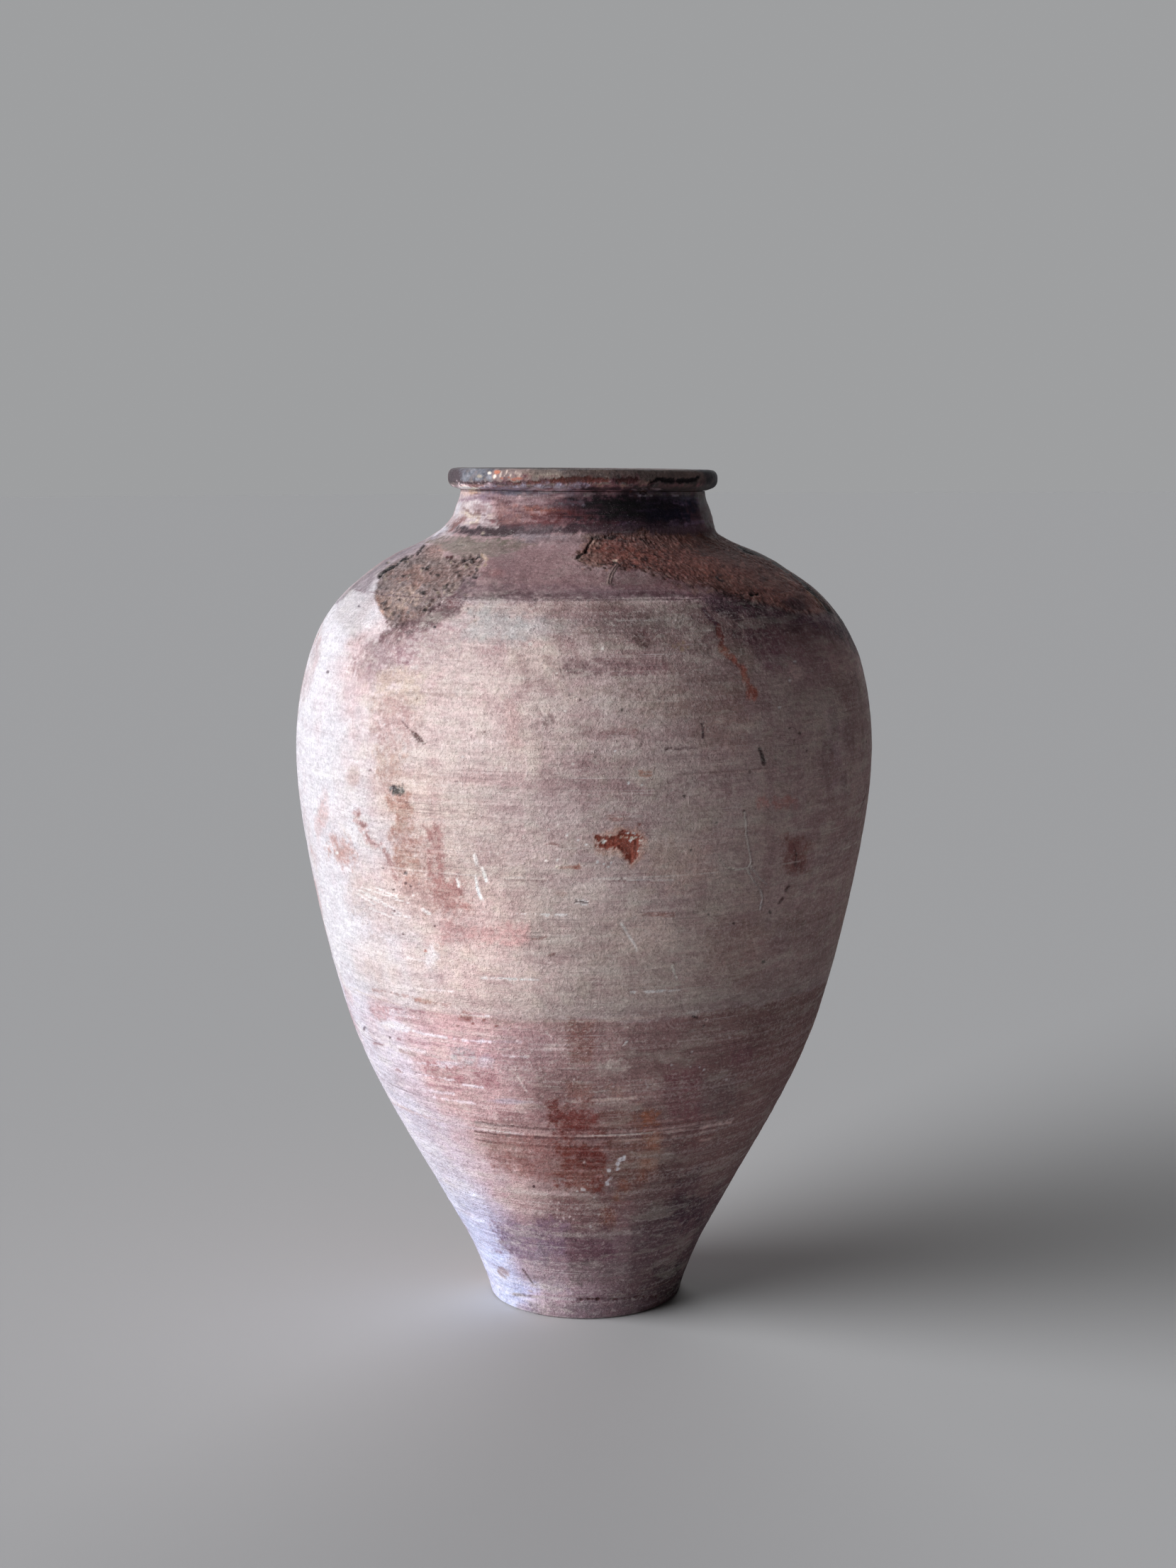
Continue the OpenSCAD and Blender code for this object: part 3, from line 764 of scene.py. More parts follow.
flecks(60, 536, 680, 790, 880, 1.0, 2.4, (0.70, 0.63, 0.56), 0.75, 1.2, -30)
# painted shadow: this line and the dark strokes after it, along the flaked patch's upper edge, are the shade cast by
# the undercut skin; some are carved a little too
flake_l_shadow_line = [(534, 813), (538, 807), (545, 802.5), (553, 798), (563, 791), (574, 785.5)]
carve(stroke(flake_l_shadow_line, 1.7, (0.09, 0.07, 0.08), 1.0, 0.8, 0.7, 0.3), 1.2)
carve(stroke([(588, 781), (593, 775), (598, 769)], 1.2, (0.16, 0.12, 0.13), 0.95, 0.8, 0.6), 0.8)
stroke([(574, 785.5), (582, 783)], 1.0, (0.20, 0.16, 0.16), 0.7)
stroke([(630, 785.5), (638, 784)], 1.2, (0.25, 0.12, 0.13), 0.85)
carve(stroke([(651, 790), (660, 786.5), (667, 786)], 1.3, (0.13, 0.08, 0.09), 0.95, 0.7, 0.8), 0.8)
carve(stroke([(669, 784.5), (676, 782.5)], 1.4, (0.10, 0.06, 0.08), 0.95), 0.8)
stroke([(680, 782), (687, 789), (683, 797)], 1.8, (0.66, 0.58, 0.50), 0.7, 1.2, 1.2)
stroke([(529, 838), (534, 853), (540, 866)], 1.6, (0.70, 0.50, 0.42), 0.6, 1.2, 1.2)
stroke([(543, 868), (546, 880), (556, 885), (570, 884)], 1.2, (0.30, 0.22, 0.22), 0.7, 1.0, 1.2)
stroke([(625, 845), (632, 840), (638, 836)], 2.0, (0.72, 0.68, 0.64), 0.7, 1.4, 1.0)
# stain below it
patch([(652, 812), (672, 812), (668, 830), (656, 846), (640, 852), (632, 846), (644, 830)], (0.42, 0.355, 0.375), 0.8, 5, 4, vary=0.3)
patch([(642, 838), (652, 848), (640, 864), (620, 878), (600, 890), (578, 898), (556, 908), (538, 924), (524, 938), (518, 924), (526, 906), (544, 892), (562, 882), (588, 876), (603, 864), (618, 852), (630, 842)],
      (0.44, 0.335, 0.355), 0.97, 5, 4, 1.5, mid=3.5, vary=0.15)
patch([(600, 868), (628, 858), (648, 862), (630, 882), (604, 896), (582, 900), (584, 888)], (0.40, 0.315, 0.325), 0.75, 6, 5, vary=0.3)
patch([(540, 894), (566, 884), (590, 880), (588, 890), (560, 900), (536, 914)], (0.47, 0.35, 0.365), 0.7, 5, 4, vary=0.3)
dab(638, 850, 10, 7, (0.50, 0.35, 0.36), 0.6, -40)
dab(579, 893, 9, 7, (0.36, 0.31, 0.32), 0.7, -20, warp=0.6, vary=0.5)
# and the marbled area where it fades out
patch([(518, 912), (560, 896), (620, 884), (660, 878), (664, 900), (640, 930), (600, 945), (560, 960), (520, 965), (504, 945)], (0.76, 0.66, 0.67), 0.75, 12, 10, 4, vary=0.6)
patch([(505, 905), (528, 912), (545, 920), (530, 950), (508, 956), (498, 930)], (0.70, 0.57, 0.60), 0.65, 9, 8, 3, vary=0.6)
for k_ in range(46):
    x_ = 512 + 145 * rng.random()
    y_ = 950 - 0.42 * (x_ - 505) + 34 * (rng.random() - 0.55)
    r_ = 2.2 + 3.6 * rng.random()
    dab(x_, y_, r_ * 1.5, r_ * 1.35, (0.66, 0.52, 0.55), 0.5, 0, 0.5, 0.6)
    dab(x_, y_, r_, r_ * 0.85, (0.87, 0.81, 0.82), 0.6, 0, 0.4, 0.6)
flecks(20, 515, 592, 902, 945, 1.5, 3.5, (0.56, 0.44, 0.48), 0.5, 1.2, -40)
flecks(20, 515, 600, 900, 950, 1.5, 3.5, (0.88, 0.84, 0.84), 0.6, 1.2, -40)
dab(612.5, 884, 1.8, 1.8, (0.14, 0.12, 0.13), 0.95)
dab(668.5, 813.5, 2.0, 1.8, (0.12, 0.09, 0.10), 0.95)
dab(506, 855, 2.0, 2.0, (0.25, 0.24, 0.28), 0.8)
stroke([(475, 850), (510, 817), (555, 785), (598, 762)], 1.6, (0.40, 0.36, 0.40), 0.5, 1.5, 1.0)

# ---- pale zone and line round the shoulder
patch([(690, 856), (730, 862), (760, 880), (740, 905), (690, 900), (650, 905), (640, 880)], (0.72, 0.70, 0.71), 0.6, 14, 8, vary=0.2)
dab(780, 885, 30, 14, (0.66, 0.64, 0.66), 0.45, soft=0.8)
dab(890, 878, 60, 16, (0.50, 0.465, 0.455), 0.65, soft=0.8)
patch([(650, 826), (760, 826), (900, 828), (1000, 836), (1010, 845), (900, 845), (760, 842), (655, 842)], (0.44, 0.355, 0.38), 0.55, 4, 4, vary=0.25)
dab(890, 838, 90, 5, (0.33, 0.25, 0.28), 0.6, 1, 0.6)
streak(650, 770, 847, 9, (0.66, 0.59, 0.61), 0.6, 14, 0.2)
streak(650, 1010, 840, 5, (0.36, 0.28, 0.30), 0.6, 16, 0.2)
for y_, a_ in ((843.6, 0.75), (847.4, 0.6)):
    stroke([(652, y_ - 1.2), (760, y_), (880, y_ + 0.3), (1000, y_ - 0.8)], 0.9, (0.60, 0.53, 0.54), a_, 0.8, 0.5, 0.3)
stroke([(652, 844.4), (760, 845.6), (880, 845.9), (1000, 844.8)], 0.8, (0.27, 0.205, 0.22), 0.6, 0.7, 0.5, 0.3)

# ---- flaked patch on the right of the shoulder
flake_r = [(815, 783), (820, 777), (826, 775), (831, 767), (838, 758), (852, 755), (872, 753), (900, 752), (949, 755), (989, 755), (1024, 760), (1044, 769),
           (1074, 781), (1098, 794), (1123, 811), (1143, 829), (1160, 847), (1172, 861), (1150, 868), (1123, 863), (1098, 857), (1069, 849), (1049, 843),
           (1024, 838), (1004, 829), (974, 823), (949, 816), (924, 808), (907, 803), (884, 800), (865, 793), (850, 800), (838, 799), (825, 796), (815, 788)]
wash(sstep(772, 792, Zs) * sstep(842, 834, Zs) * sstep(52, 72, deg + 5 * nC) * sstep(128, 105, deg + 8 * nC), "umber", 0.6)
got = patch(flake_r, (0.36, 0.27, 0.245), 0.95, 3.0, 5.0, 2.4)
i_, m_, d_ = got
rough[i_] = np.maximum(rough[i_], 0.36 * m_)
fresh[i_] = np.maximum(fresh[i_], 0.6 * m_)
relief[i_] -= m_ * (0.6 + 0.6 * sstep(0, 14, d_)) + m_ * (0.20 * nA[i_] + 0.30 * nF[i_] + 0.30 * nB[i_])
patch([(818, 780), (838, 760), (880, 756), (930, 762), (940, 790), (900, 798), (860, 790), (830, 794)], (0.40, 0.275, 0.245), 0.7, 8, 8, vary=0.5)
patch([(900, 756), (1000, 758), (1020, 775), (960, 800), (905, 790)], (0.33, 0.25, 0.225), 0.6, 8, 8, vary=0.5)
patch([(960, 790), (1040, 785), (1110, 815), (1090, 848), (1010, 828), (960, 815)], (0.37, 0.285, 0.25), 0.6, 10, 8, vary=0.5)
patch([(1060, 800), (1110, 806), (1150, 845), (1120, 860), (1080, 850)], (0.31, 0.24, 0.22), 0.6, 8, 8, vary=0.5)
for x_, y_, rx_, ry_, t_, c_ in ((850, 772, 22, 8, -20, (0.43, 0.24, 0.21)), (900, 782, 30, 9, 8, (0.40, 0.235, 0.20)), (935, 770, 26, 9, 5, (0.33, 0.255, 0.235)), (985, 775, 26, 10, 10, (0.30, 0.225, 0.21)),
                                 (1000, 800, 34, 9, 18, (0.41, 0.30, 0.265)), (1055, 815, 32, 10, 25, (0.34, 0.255, 0.235)), (1090, 836, 28, 8, 20, (0.37, 0.27, 0.235)), (960, 806, 26, 6, 18, (0.35, 0.23, 0.21)),
                                 (1120, 845, 24, 8, 30, (0.29, 0.215, 0.20)), (1040, 788, 26, 8, 25, (0.31, 0.245, 0.23))):
    dab(x_, y_, rx_, ry_, c_, 0.6, t_, 0.8, 0.9, 0.4, vary=0.5)
flecks(150, 822, 1010, 757, 806, 0.7, 1.8, (0.53, 0.38, 0.34), 0.6, 1.4, 10)
flecks(150, 822, 1010, 757, 806, 0.6, 1.6, (0.20, 0.12, 0.11), 0.65, 1.5, 10)
flecks(60, 822, 960, 758, 800, 1.2, 3.2, (0.48, 0.35, 0.31), 0.6, 1.6, -20)
flecks(44, 822, 960, 758, 802, 1.0, 2.6, (0.17, 0.10, 0.095), 0.8, 1.8, 10)
flecks(70, 940, 1130, 765, 850, 1.2, 3.2, (0.42, 0.34, 0.30), 0.55, 1.8, 15)
flecks(60, 940, 1140, 765, 856, 1.0, 3.0, (0.19, 0.13, 0.13), 0.65, 2.0, 15)
# painted shadow: dark strokes along the flaked patch's edges, mostly its left, where the skin's edge shades the sunken
# clay; carved a little too
for pts in ([(826, 777), (830, 769), (836, 760), (846, 756)], [(815, 786), (822, 780), (828, 777)], [(848, 795), (860, 794), (866, 795)], [(854, 757), (864, 758), (872, 755.5)]):
    carve(stroke(pts, 1.3, (0.13, 0.075, 0.07), 0.9, 0.8, 1.0, 0.5), 0.9)
for pts in ([(832, 768), (840, 759)], [(838, 763), (848, 770)], [(862, 766), (870, 775)], [(888, 765), (893, 778)], [(900, 777), (907, 784)], [(820, 790), (835, 797)]):
    stroke(pts, 1.2, (0.52, 0.42, 0.38), 0.7, 0.8, 1.0)
dab(867, 789.5, 4.2, 2.4, (0.86, 0.78, 0.70), 0.95, 10)
carve(dab(868, 792.5, 4, 1.2, (0.07, 0.05, 0.05), 0.9, 10), 0.6)
for off, c_ in ((-2.4, (0.55, 0.47, 0.45)), (0.0, (0.16, 0.11, 0.11)), (2.2, (0.52, 0.44, 0.42)), (3.8, (0.20, 0.15, 0.15))):
    stroke([(872 + off, 795), (867 + off, 801), (862 + off, 809), (859.5 + off, 817), (858.5 + off, 823), (861 + off, 825)], 0.9, c_, 0.85, 0.6, 0.3)
stroke([(838, 815), (848, 822), (856, 825)], 1.0, (0.50, 0.43, 0.42), 0.5, 0.8, 0.5)
carve(dab(1061.5, 837.5, 3.4, 1.9, (0.03, 0.02, 0.02), 1.0, 10, warp=0.1), 1.4)
carve(dab(1069.5, 836.5, 3.0, 1.7, (0.03, 0.02, 0.02), 1.0, -15, warp=0.1), 1.4)
stroke([(1011, 812), (1016, 817), (1020, 818)], 1.2, (0.10, 0.07, 0.07), 0.9)
stroke([(1018, 813), (1034, 812)], 1.0, (0.46, 0.34, 0.28), 0.6)
# painted shadow: thin black lines along the flaked patch's right edge, carved a little too
for pts in ([(1043, 770), (1056, 775), (1074, 782), (1090, 789)], [(1050, 776), (1062, 780)], [(1092, 793), (1104, 800), (1112, 806)], [(1120, 810), (1132, 820), (1143, 830)],
            [(1140, 829), (1152, 839), (1163, 851), (1172, 863)], [(1150, 842), (1160, 853)]):
    carve(stroke(pts, 1.7, (0.06, 0.045, 0.045), 0.95, 0.9, 1.0, 0.5), 1.0)
# painted highlight: an orange-red glint along the inside of that edge
stroke([(1140, 834), (1152, 843), (1160, 852)], 1.6, (0.50, 0.27, 0.20), 0.75, 1.0, 1.0)
stroke([(1060, 768), (1100, 786), (1140, 812), (1170, 842), (1190, 868)], 2.6, (0.36, 0.31, 0.29), 0.6, 1.8, 1.0)
# below it, a dark purple band of painted shadow under the flaked edge, darker patches lower down, and the run of red
# brown
patch([(1000, 832), (1030, 842), (1080, 852), (1120, 866), (1172, 866), (1195, 885), (1200, 900), (1160, 884), (1110, 876), (1060, 872), (1020, 866), (1000, 850)], (0.21, 0.155, 0.18), 0.85, 7, 6, vary=0.3)
dab(1125, 852, 16, 8, (0.17, 0.13, 0.15), 0.7, 15)
dab(1020, 860, 16, 4, (0.20, 0.15, 0.18), 0.75, 2)
dab(1005, 845, 14, 6, (0.29, 0.22, 0.25), 0.6)
patch([(1036, 880), (1070, 878), (1105, 888), (1112, 915), (1104, 945), (1080, 948), (1066, 925), (1046, 908)], (0.265, 0.195, 0.215), 0.7, 9, 9, 4, vary=0.5)
dab(1078, 900, 20, 26, (0.235, 0.17, 0.185), 0.55, -20, 0.6, 0.5, vary=0.5)
dab(1140, 915, 34, 40, (0.285, 0.22, 0.235), 0.5, soft=0.7, vary=0.3)
patch([(1035, 905), (1062, 915), (1066, 935), (1050, 940), (1040, 925)], (0.38, 0.34, 0.325), 0.65, 6, 5, vary=0.3)
run = [(993, 860), (1000, 869), (1008, 877), (1014, 886), (1017, 899), (1017, 910), (1024, 919), (1032, 927), (1041, 936), (1049, 945), (1052, 957), (1056, 967), (1062, 975), (1066, 986)]
stroke(run[:5], 4.2, (0.25, 0.17, 0.21), 0.85, 1.6, 1.6, 0.6)
stroke(run[3:8], 4.6, (0.35, 0.21, 0.19), 0.9, 1.4, 1.6, 0.8)
stroke(run[7:], 3.8, (0.38, 0.22, 0.19), 0.9, 1.4, 1.6, 0.8)
dab(1022, 917, 8, 6, (0.40, 0.23, 0.18), 0.85, 35)
dab(1061, 977, 7, 9, (0.36, 0.20, 0.17), 0.9, -10)
dab(1052, 955, 4, 9, (0.42, 0.25, 0.19), 0.7)
patch([(890, 893), (908, 891), (914, 900), (908, 918), (900, 910), (893, 903)], (0.37, 0.29, 0.285), 0.75, 4, 4, vary=0.4)
flecks(7, 948, 972, 907, 918, 1.6, 3.0, (0.48, 0.42, 0.33), 0.7)

# ---- upper body, left
patch([(505, 905), (535, 900), (545, 930), (560, 955), (600, 960), (605, 1005), (585, 1060), (566, 1110), (535, 1115), (530, 1060), (535, 1010), (515, 960)], (0.79, 0.715, 0.70), 0.5, 16, 14, 3, vary=0.4)
patch([(515, 905), (545, 905), (552, 935), (540, 962), (520, 950)], (0.66, 0.58, 0.61), 0.5, 10, 10, 4, vary=0.7)
patch([(525, 950), (592, 950), (600, 985), (585, 1012), (545, 1008)], (0.83, 0.745, 0.70), 0.6, 12, 12, 4, vary=0.4)
patch([(538, 985), (566, 980), (576, 1005), (560, 1060), (548, 1120), (534, 1110), (530, 1040)], (0.76, 0.63, 0.63), 0.55, 9, 10, 4, vary=0.5)
patch([(560, 1000), (588, 1005), (584, 1050), (566, 1062), (554, 1035)], (0.79, 0.67, 0.665), 0.6, 10, 10, 3, vary=0.4)
patch([(533, 1062), (566, 1058), (570, 1105), (545, 1120), (530, 1098)], (0.78, 0.67, 0.63), 0.6, 10, 10, 3, vary=0.3)
patch([(600, 880), (655, 870), (690, 880), (680, 960), (630, 980), (600, 940)], (0.76, 0.70, 0.70), 0.4, 18, 14, vary=0.3)
patch([(590, 1000), (650, 985), (690, 1010), (690, 1090), (640, 1110), (596, 1080)], (0.80, 0.745, 0.745), 0.35, 18, 14, vary=0.3)
dab(497, 1096, 9, 14, (0.80, 0.70, 0.68), 0.6, 20, 0.6)
carve(stroke([(576, 1028), (584, 1036), (591, 1044), (597, 1049)], 3.0, (0.36, 0.27, 0.26), 0.92, 1.0, 0.8, 0.4, taper=True), 0.5)
stroke([(566, 1018), (571, 1024), (577, 1029)], 1.0, (0.42, 0.34, 0.34), 0.75, 0.7, 0.5)
dab(462, 948, 2.4, 2.2, (0.42, 0.38, 0.42), 0.85)
carve(dab(561, 1115.5, 9.5, 7.2, (0.27, 0.275, 0.275), 0.96, 0, 0.3, 0.45, 0.3), 0.3)
dab(555, 1112, 4, 3.2, (0.12, 0.115, 0.13), 0.9, 0, 0.4, 0.5)
dab(566, 1119, 3.5, 2.4, (0.40, 0.39, 0.37), 0.7)
stroke([(571, 977.5), (600, 979), (640, 981)], 1.6, (0.70, 0.62, 0.60), 0.5, 1.0, 0.6)
for x_, y_, r_, c_ in ((521, 1087, 2.2, (0.52, 0.44, 0.46)), (683, 1032, 2.0, (0.40, 0.31, 0.31)), (643, 1103, 2.0, (0.42, 0.35, 0.35)),
                       (614, 1044, 1.8, (0.45, 0.38, 0.38)), (588, 985, 1.8, (0.50, 0.42, 0.40)), (652, 1068, 1.5, (0.95, 0.94, 0.95)), (541, 1022, 1.7, (0.95, 0.94, 0.95))):
    dab(x_, y_, r_, r_ * 0.8, c_, 0.85)

# ---- upper body, middle
patch([(665, 866), (765, 868), (775, 890), (740, 905), (690, 902), (660, 895)], (0.70, 0.695, 0.705), 0.45, 12, 8, vary=0.2)
for pts in ([(780, 893), (792, 905), (797, 919)], [(768, 922), (780, 938), (789, 957)], [(761, 957), (770, 965), (780, 974)], [(805, 905), (815, 935)], [(735, 930), (745, 968)]):
    stroke(pts, 7, (0.55, 0.44, 0.44), 0.4, 5, 3.5, 2.0, vary=0.5)
patch([(795, 930), (870, 933), (940, 934), (944, 950), (860, 956), (798, 952)], (0.45, 0.355, 0.365), 0.65, 7, 6, 2, vary=0.35)
stroke([(860, 944), (900, 947), (945, 948)], 1.2, (0.55, 0.47, 0.46), 0.6, 1.0, 0.5)
stroke([(905, 953), (940, 953)], 1.0, (0.53, 0.45, 0.44), 0.5, 1.0, 0.5)
patch([(818, 1024), (860, 1027), (896, 1026), (900, 1036), (858, 1041), (820, 1038)], (0.46, 0.36, 0.36), 0.6, 6, 5, 2, vary=0.3)
patch([(870, 960), (960, 958), (985, 990), (960, 1015), (880, 1010)], (0.47, 0.395, 0.38), 0.45, 18, 12, vary=0.3)
for x0_, y0_, x1_, y1_ in ((761, 1007, 770, 1014), (773, 1005, 780, 1015), (764, 1018, 771, 1023), (756, 1000, 762, 1004)):
    stroke([(x0_, y0_), (x1_, y1_)], 2.2, (0.52, 0.43, 0.43), 0.7, 1.4, 1.2)
stroke([(716, 993), (724, 1015), (720, 1038), (728, 1053)], 8, (0.74, 0.62, 0.615), 0.55, 6, 3, 1.5)
patch([(763, 1086), (800, 1088), (828, 1092), (826, 1107), (790, 1111), (765, 1106)], (0.56, 0.46, 0.47), 0.5, 7, 6, vary=0.4)
for x_, y_, r_ in ((877, 1001, 2.0), (803, 980, 1.8), (818, 987, 1.8), (840, 1068, 1.4), (905, 1050, 1.5), (930, 985, 1.6)):
    dab(x_, y_, r_, r_, (0.22, 0.17, 0.17), 0.9)
for x_, y_, r_ in ((748, 908, 2.6), (850, 915, 2.2), (713, 1084, 2.2), (808, 1078, 2.0), (797, 1003, 2.0), (887, 1105, 2.0), (906, 1107, 1.8), (785, 950, 1.6), (727, 975, 1.6), (868, 1060, 1.6)):
    dab(x_, y_, r_, r_ * 0.85, (0.86, 0.83, 0.82), 0.85)
for off in (-3, 2):
    stroke([(902, 1091 + off), (910, 1093 + off), (919, 1092 + off)], 1.4, (0.48, 0.30, 0.25), 0.75, 0.9, 0.6)

# ---- upper body, right
patch([(985, 950), (1040, 950), (1060, 1000), (1050, 1060), (1000, 1080), (975, 1010)], (0.40, 0.335, 0.325), 0.5, 20, 14, vary=0.3)
for x_, y_, r_ in ((1122, 933, 2.6), (1115, 960, 2.4), (1101, 998, 2.4)):
    dab(x_, y_, r_, r_ * 0.85, (0.62, 0.58, 0.57), 0.95)
    carve(dab(x_, y_ + 2.8, r_, 1.0, (0.12, 0.10, 0.11), 0.6), 0.3)
patch([(1116, 936), (1132, 940), (1134, 955), (1120, 960)], (0.40, 0.35, 0.345), 0.6, 5, 4)
stroke([(991, 1022), (992.5, 1030), (992, 1041)], 1.5, (0.13, 0.10, 0.11), 0.9, 0.8, 0.5)
stroke([(992, 1024), (1010, 1019), (1037, 1017)], 1.1, (0.52, 0.45, 0.43), 0.65, 0.8, 0.4)
for x0_ in (940, 952, 963, 975):
    stroke([(x0_, 1055 + rng.random() * 3), (x0_ + 8, 1055 + rng.random() * 3)], 1.5, (0.24, 0.185, 0.19), 0.75, 0.9, 0.5)
carve(stroke([(1073, 1056), (1077, 1066), (1080, 1077)], 2.6, (0.12, 0.10, 0.10), 0.92, 0.9, 0.7), 0.5)
for x_, y_, r_ in ((1130, 1034, 2.2), (1122, 1045, 1.8), (1116, 1027, 1.8), (1140, 1060, 1.6), (1059, 1089, 2.0), (966, 1123, 2.2), (1096, 1072, 1.5)):
    dab(x_, y_, r_, r_ * 0.85, (0.13, 0.10, 0.10), 0.9)
stroke([(1046, 1023), (1054, 1028), (1059, 1034)], 1.0, (0.55, 0.48, 0.46), 0.8, 0.6, 0.4)
stroke([(955, 1092), (1000, 1090), (1050, 1087), (1098, 1083)], 1.0, (0.27, 0.21, 0.21), 0.45, 0.8, 0.7, 0.6)
stroke([(955, 1094.5), (1000, 1092.5), (1050, 1089.5), (1098, 1085.5)], 1.2, (0.46, 0.40, 0.39), 0.5, 0.8, 0.4)
for k_ in range(11):
    x_, y_ = 1160 + 46 * rng.random(), 975 + 140 * rng.random()
    dab(x_, y_, 4 + 4 * rng.random(), 10 + 14 * rng.random(), ((0.24, 0.195, 0.20), (0.37, 0.325, 0.335))[k_ % 2], 0.45, -8, 0.7, 0.6)

# ---- middle, left
dab(453, 1150, 8, 24, (0.84, 0.70, 0.70), 0.65, 8, 0.7, 0.5, vary=0.4)
patch([(466, 1180), (494, 1186), (502, 1212), (484, 1226), (464, 1206)], (0.79, 0.65, 0.64), 0.65, 8, 8, 3, vary=0.5)
dab(482, 1204, 6, 8, (0.72, 0.56, 0.53), 0.6, 0, 0.6, 0.8)
dab(475, 1203, 3, 2, (0.96, 0.95, 0.96), 0.9)
stroke([(501, 1147), (503, 1157), (510, 1165), (515, 1174), (521, 1186), (528, 1191), (533, 1194)], 4.2, (0.76, 0.61, 0.61), 0.65, 2.5, 2.6, 1.4)
stroke([(503, 1150), (511, 1166), (519, 1184), (527, 1191)], 1.5, (0.62, 0.46, 0.46), 0.7, 1.2, 2.0, 1.2)
stroke([(541, 1198), (546, 1209), (551, 1220), (553, 1231), (559, 1242)], 2.8, (0.66, 0.50, 0.49), 0.7, 1.8, 2.2, 1.4)
patch([(582, 1168), (604, 1165), (610, 1220), (604, 1290), (588, 1286), (580, 1230)], (0.755, 0.64, 0.62), 0.6, 8, 8, 3, vary=0.4)
patch([(612, 1215), (634, 1212), (660, 1250), (668, 1290), (640, 1296), (618, 1262)], (0.70, 0.575, 0.565), 0.55, 9, 9, 3, vary=0.4)
patch([(551, 1126), (574, 1124), (580, 1145), (572, 1168), (556, 1162)], (0.72, 0.53, 0.475), 0.75, 7, 6, 2, vary=0.4)
patch([(560, 1120), (582, 1135), (590, 1190), (586, 1246), (570, 1262), (556, 1220), (554, 1160)], (0.70, 0.55, 0.515), 0.7, 9, 8, 3, vary=0.4)
patch([(566, 1240), (600, 1240), (640, 1246), (655, 1275), (630, 1288), (590, 1278), (566, 1266)], (0.72, 0.58, 0.56), 0.6, 10, 9, 3, vary=0.4)
dab(572, 1232, 2.6, 2.4, (0.25, 0.18, 0.18), 0.9)
patch([(602, 1160), (622, 1164), (626, 1240), (610, 1254), (600, 1210)], (0.66, 0.49, 0.48), 0.7, 6, 6, 2, vary=0.4)
patch([(615, 1243), (652, 1248), (654, 1276), (630, 1284), (612, 1268)], (0.66, 0.49, 0.48), 0.65, 7, 7, 2, vary=0.5)
patch([(500, 1245), (560, 1240), (600, 1270), (595, 1310), (540, 1320), (500, 1290)], (0.79, 0.715, 0.71), 0.4, 14, 12, vary=0.4)
for pts in ([(669, 1207), (672, 1220)], [(680, 1225), (683, 1234), (686, 1243)], [(671, 1236), (672, 1249), (675, 1259), (679, 1268)], [(644, 1240), (647, 1251)], [(596, 1283), (606, 1289)]):
    stroke(pts, 1.9, (0.98, 0.97, 0.97), 0.95, 0.9, 0.6)
    stroke([(x_ + 3.2, y_ + 3) for x_, y_ in pts], 0.9, (0.95, 0.93, 0.93), 0.6, 0.7, 0.6)
dab(601, 1286, 3, 2.4, (0.96, 0.94, 0.94), 0.9)
dab(583, 1263, 2, 2, (0.95, 0.93, 0.93), 0.85)
for pts in ([(510, 1252), (541, 1262), (576, 1274)], [(521, 1281), (553, 1295)], [(551, 1288), (576, 1294)], [(507, 1256), (535, 1270), (566, 1290)], [(514, 1262), (545, 1279)],
            [(530, 1252), (560, 1266)], [(505, 1262), (528, 1276)]):
    carve(stroke([(x_, y_ + 1.8) for x_, y_ in pts], 0.8, (0.66, 0.56, 0.57), 0.55, 0.7, 0.6), 0.25)
    stroke(pts, 1.3, (0.97, 0.95, 0.96), 0.85, 0.8, 0.7, 0.5)
for x_, y_, r_, c_ in ((572, 1246, 2.0, (0.32, 0.24, 0.24)), (555, 1255, 1.7, (0.34, 0.26, 0.26)), (579, 1250, 1.8, (0.33, 0.25, 0.25)), (569, 1318, 1.7, (0.36, 0.28, 0.28)),
                       (613, 1307, 1.8, (0.30, 0.22, 0.22)), (556, 1285, 1.8, (0.34, 0.26, 0.27)), (600, 1342, 2.0, (0.62, 0.30, 0.26)), (540, 1225, 1.5, (0.36, 0.30, 0.30))):
    dab(x_, y_, r_, r_ * 0.85, c_, 0.88)
patch([(620, 1300), (680, 1303), (742, 1306), (745, 1330), (690, 1334), (622, 1326)], (0.74, 0.58, 0.58), 0.6, 9, 8, 2, vary=0.4)
dab(612, 1349, 8, 16, (0.93, 0.93, 0.96), 0.6, 10, 0.6, 0.5)
patch([(640, 1100), (700, 1105), (720, 1170), (690, 1230), (640, 1220), (625, 1160)], (0.76, 0.68, 0.685), 0.35, 18, 14, vary=0.3)

# ---- the chip in the middle
chip = [(841, 1182), (845, 1176.5), (854, 1180), (864, 1182), (871, 1181.5), (874, 1175), (882, 1173), (892, 1173.5), (902, 1178.5), (907, 1186), (905, 1191), (900, 1197),
        (902, 1204), (897, 1210), (891, 1217.5), (885, 1211), (880, 1204.5), (875, 1198), (866, 1193.5), (857, 1196.5), (849, 1197), (844, 1192)]
patch([(838, 1176), (872, 1168), (905, 1170), (914, 1186), (908, 1212), (892, 1224), (872, 1206), (842, 1202)], (0.60, 0.45, 0.40), 0.55, 4, 3, 2)
got = patch(chip, (0.405, 0.195, 0.155), 0.98, 1.0, 2.6, 2.2)
i_, m_, d_ = got
rough[i_] = np.maximum(rough[i_], 0.35 * m_)
fresh[i_] = np.maximum(fresh[i_], 0.9 * m_)
relief[i_] -= m_ * (0.35 + 0.85 * sstep(0, 8, d_) + 0.25 * nF[i_])
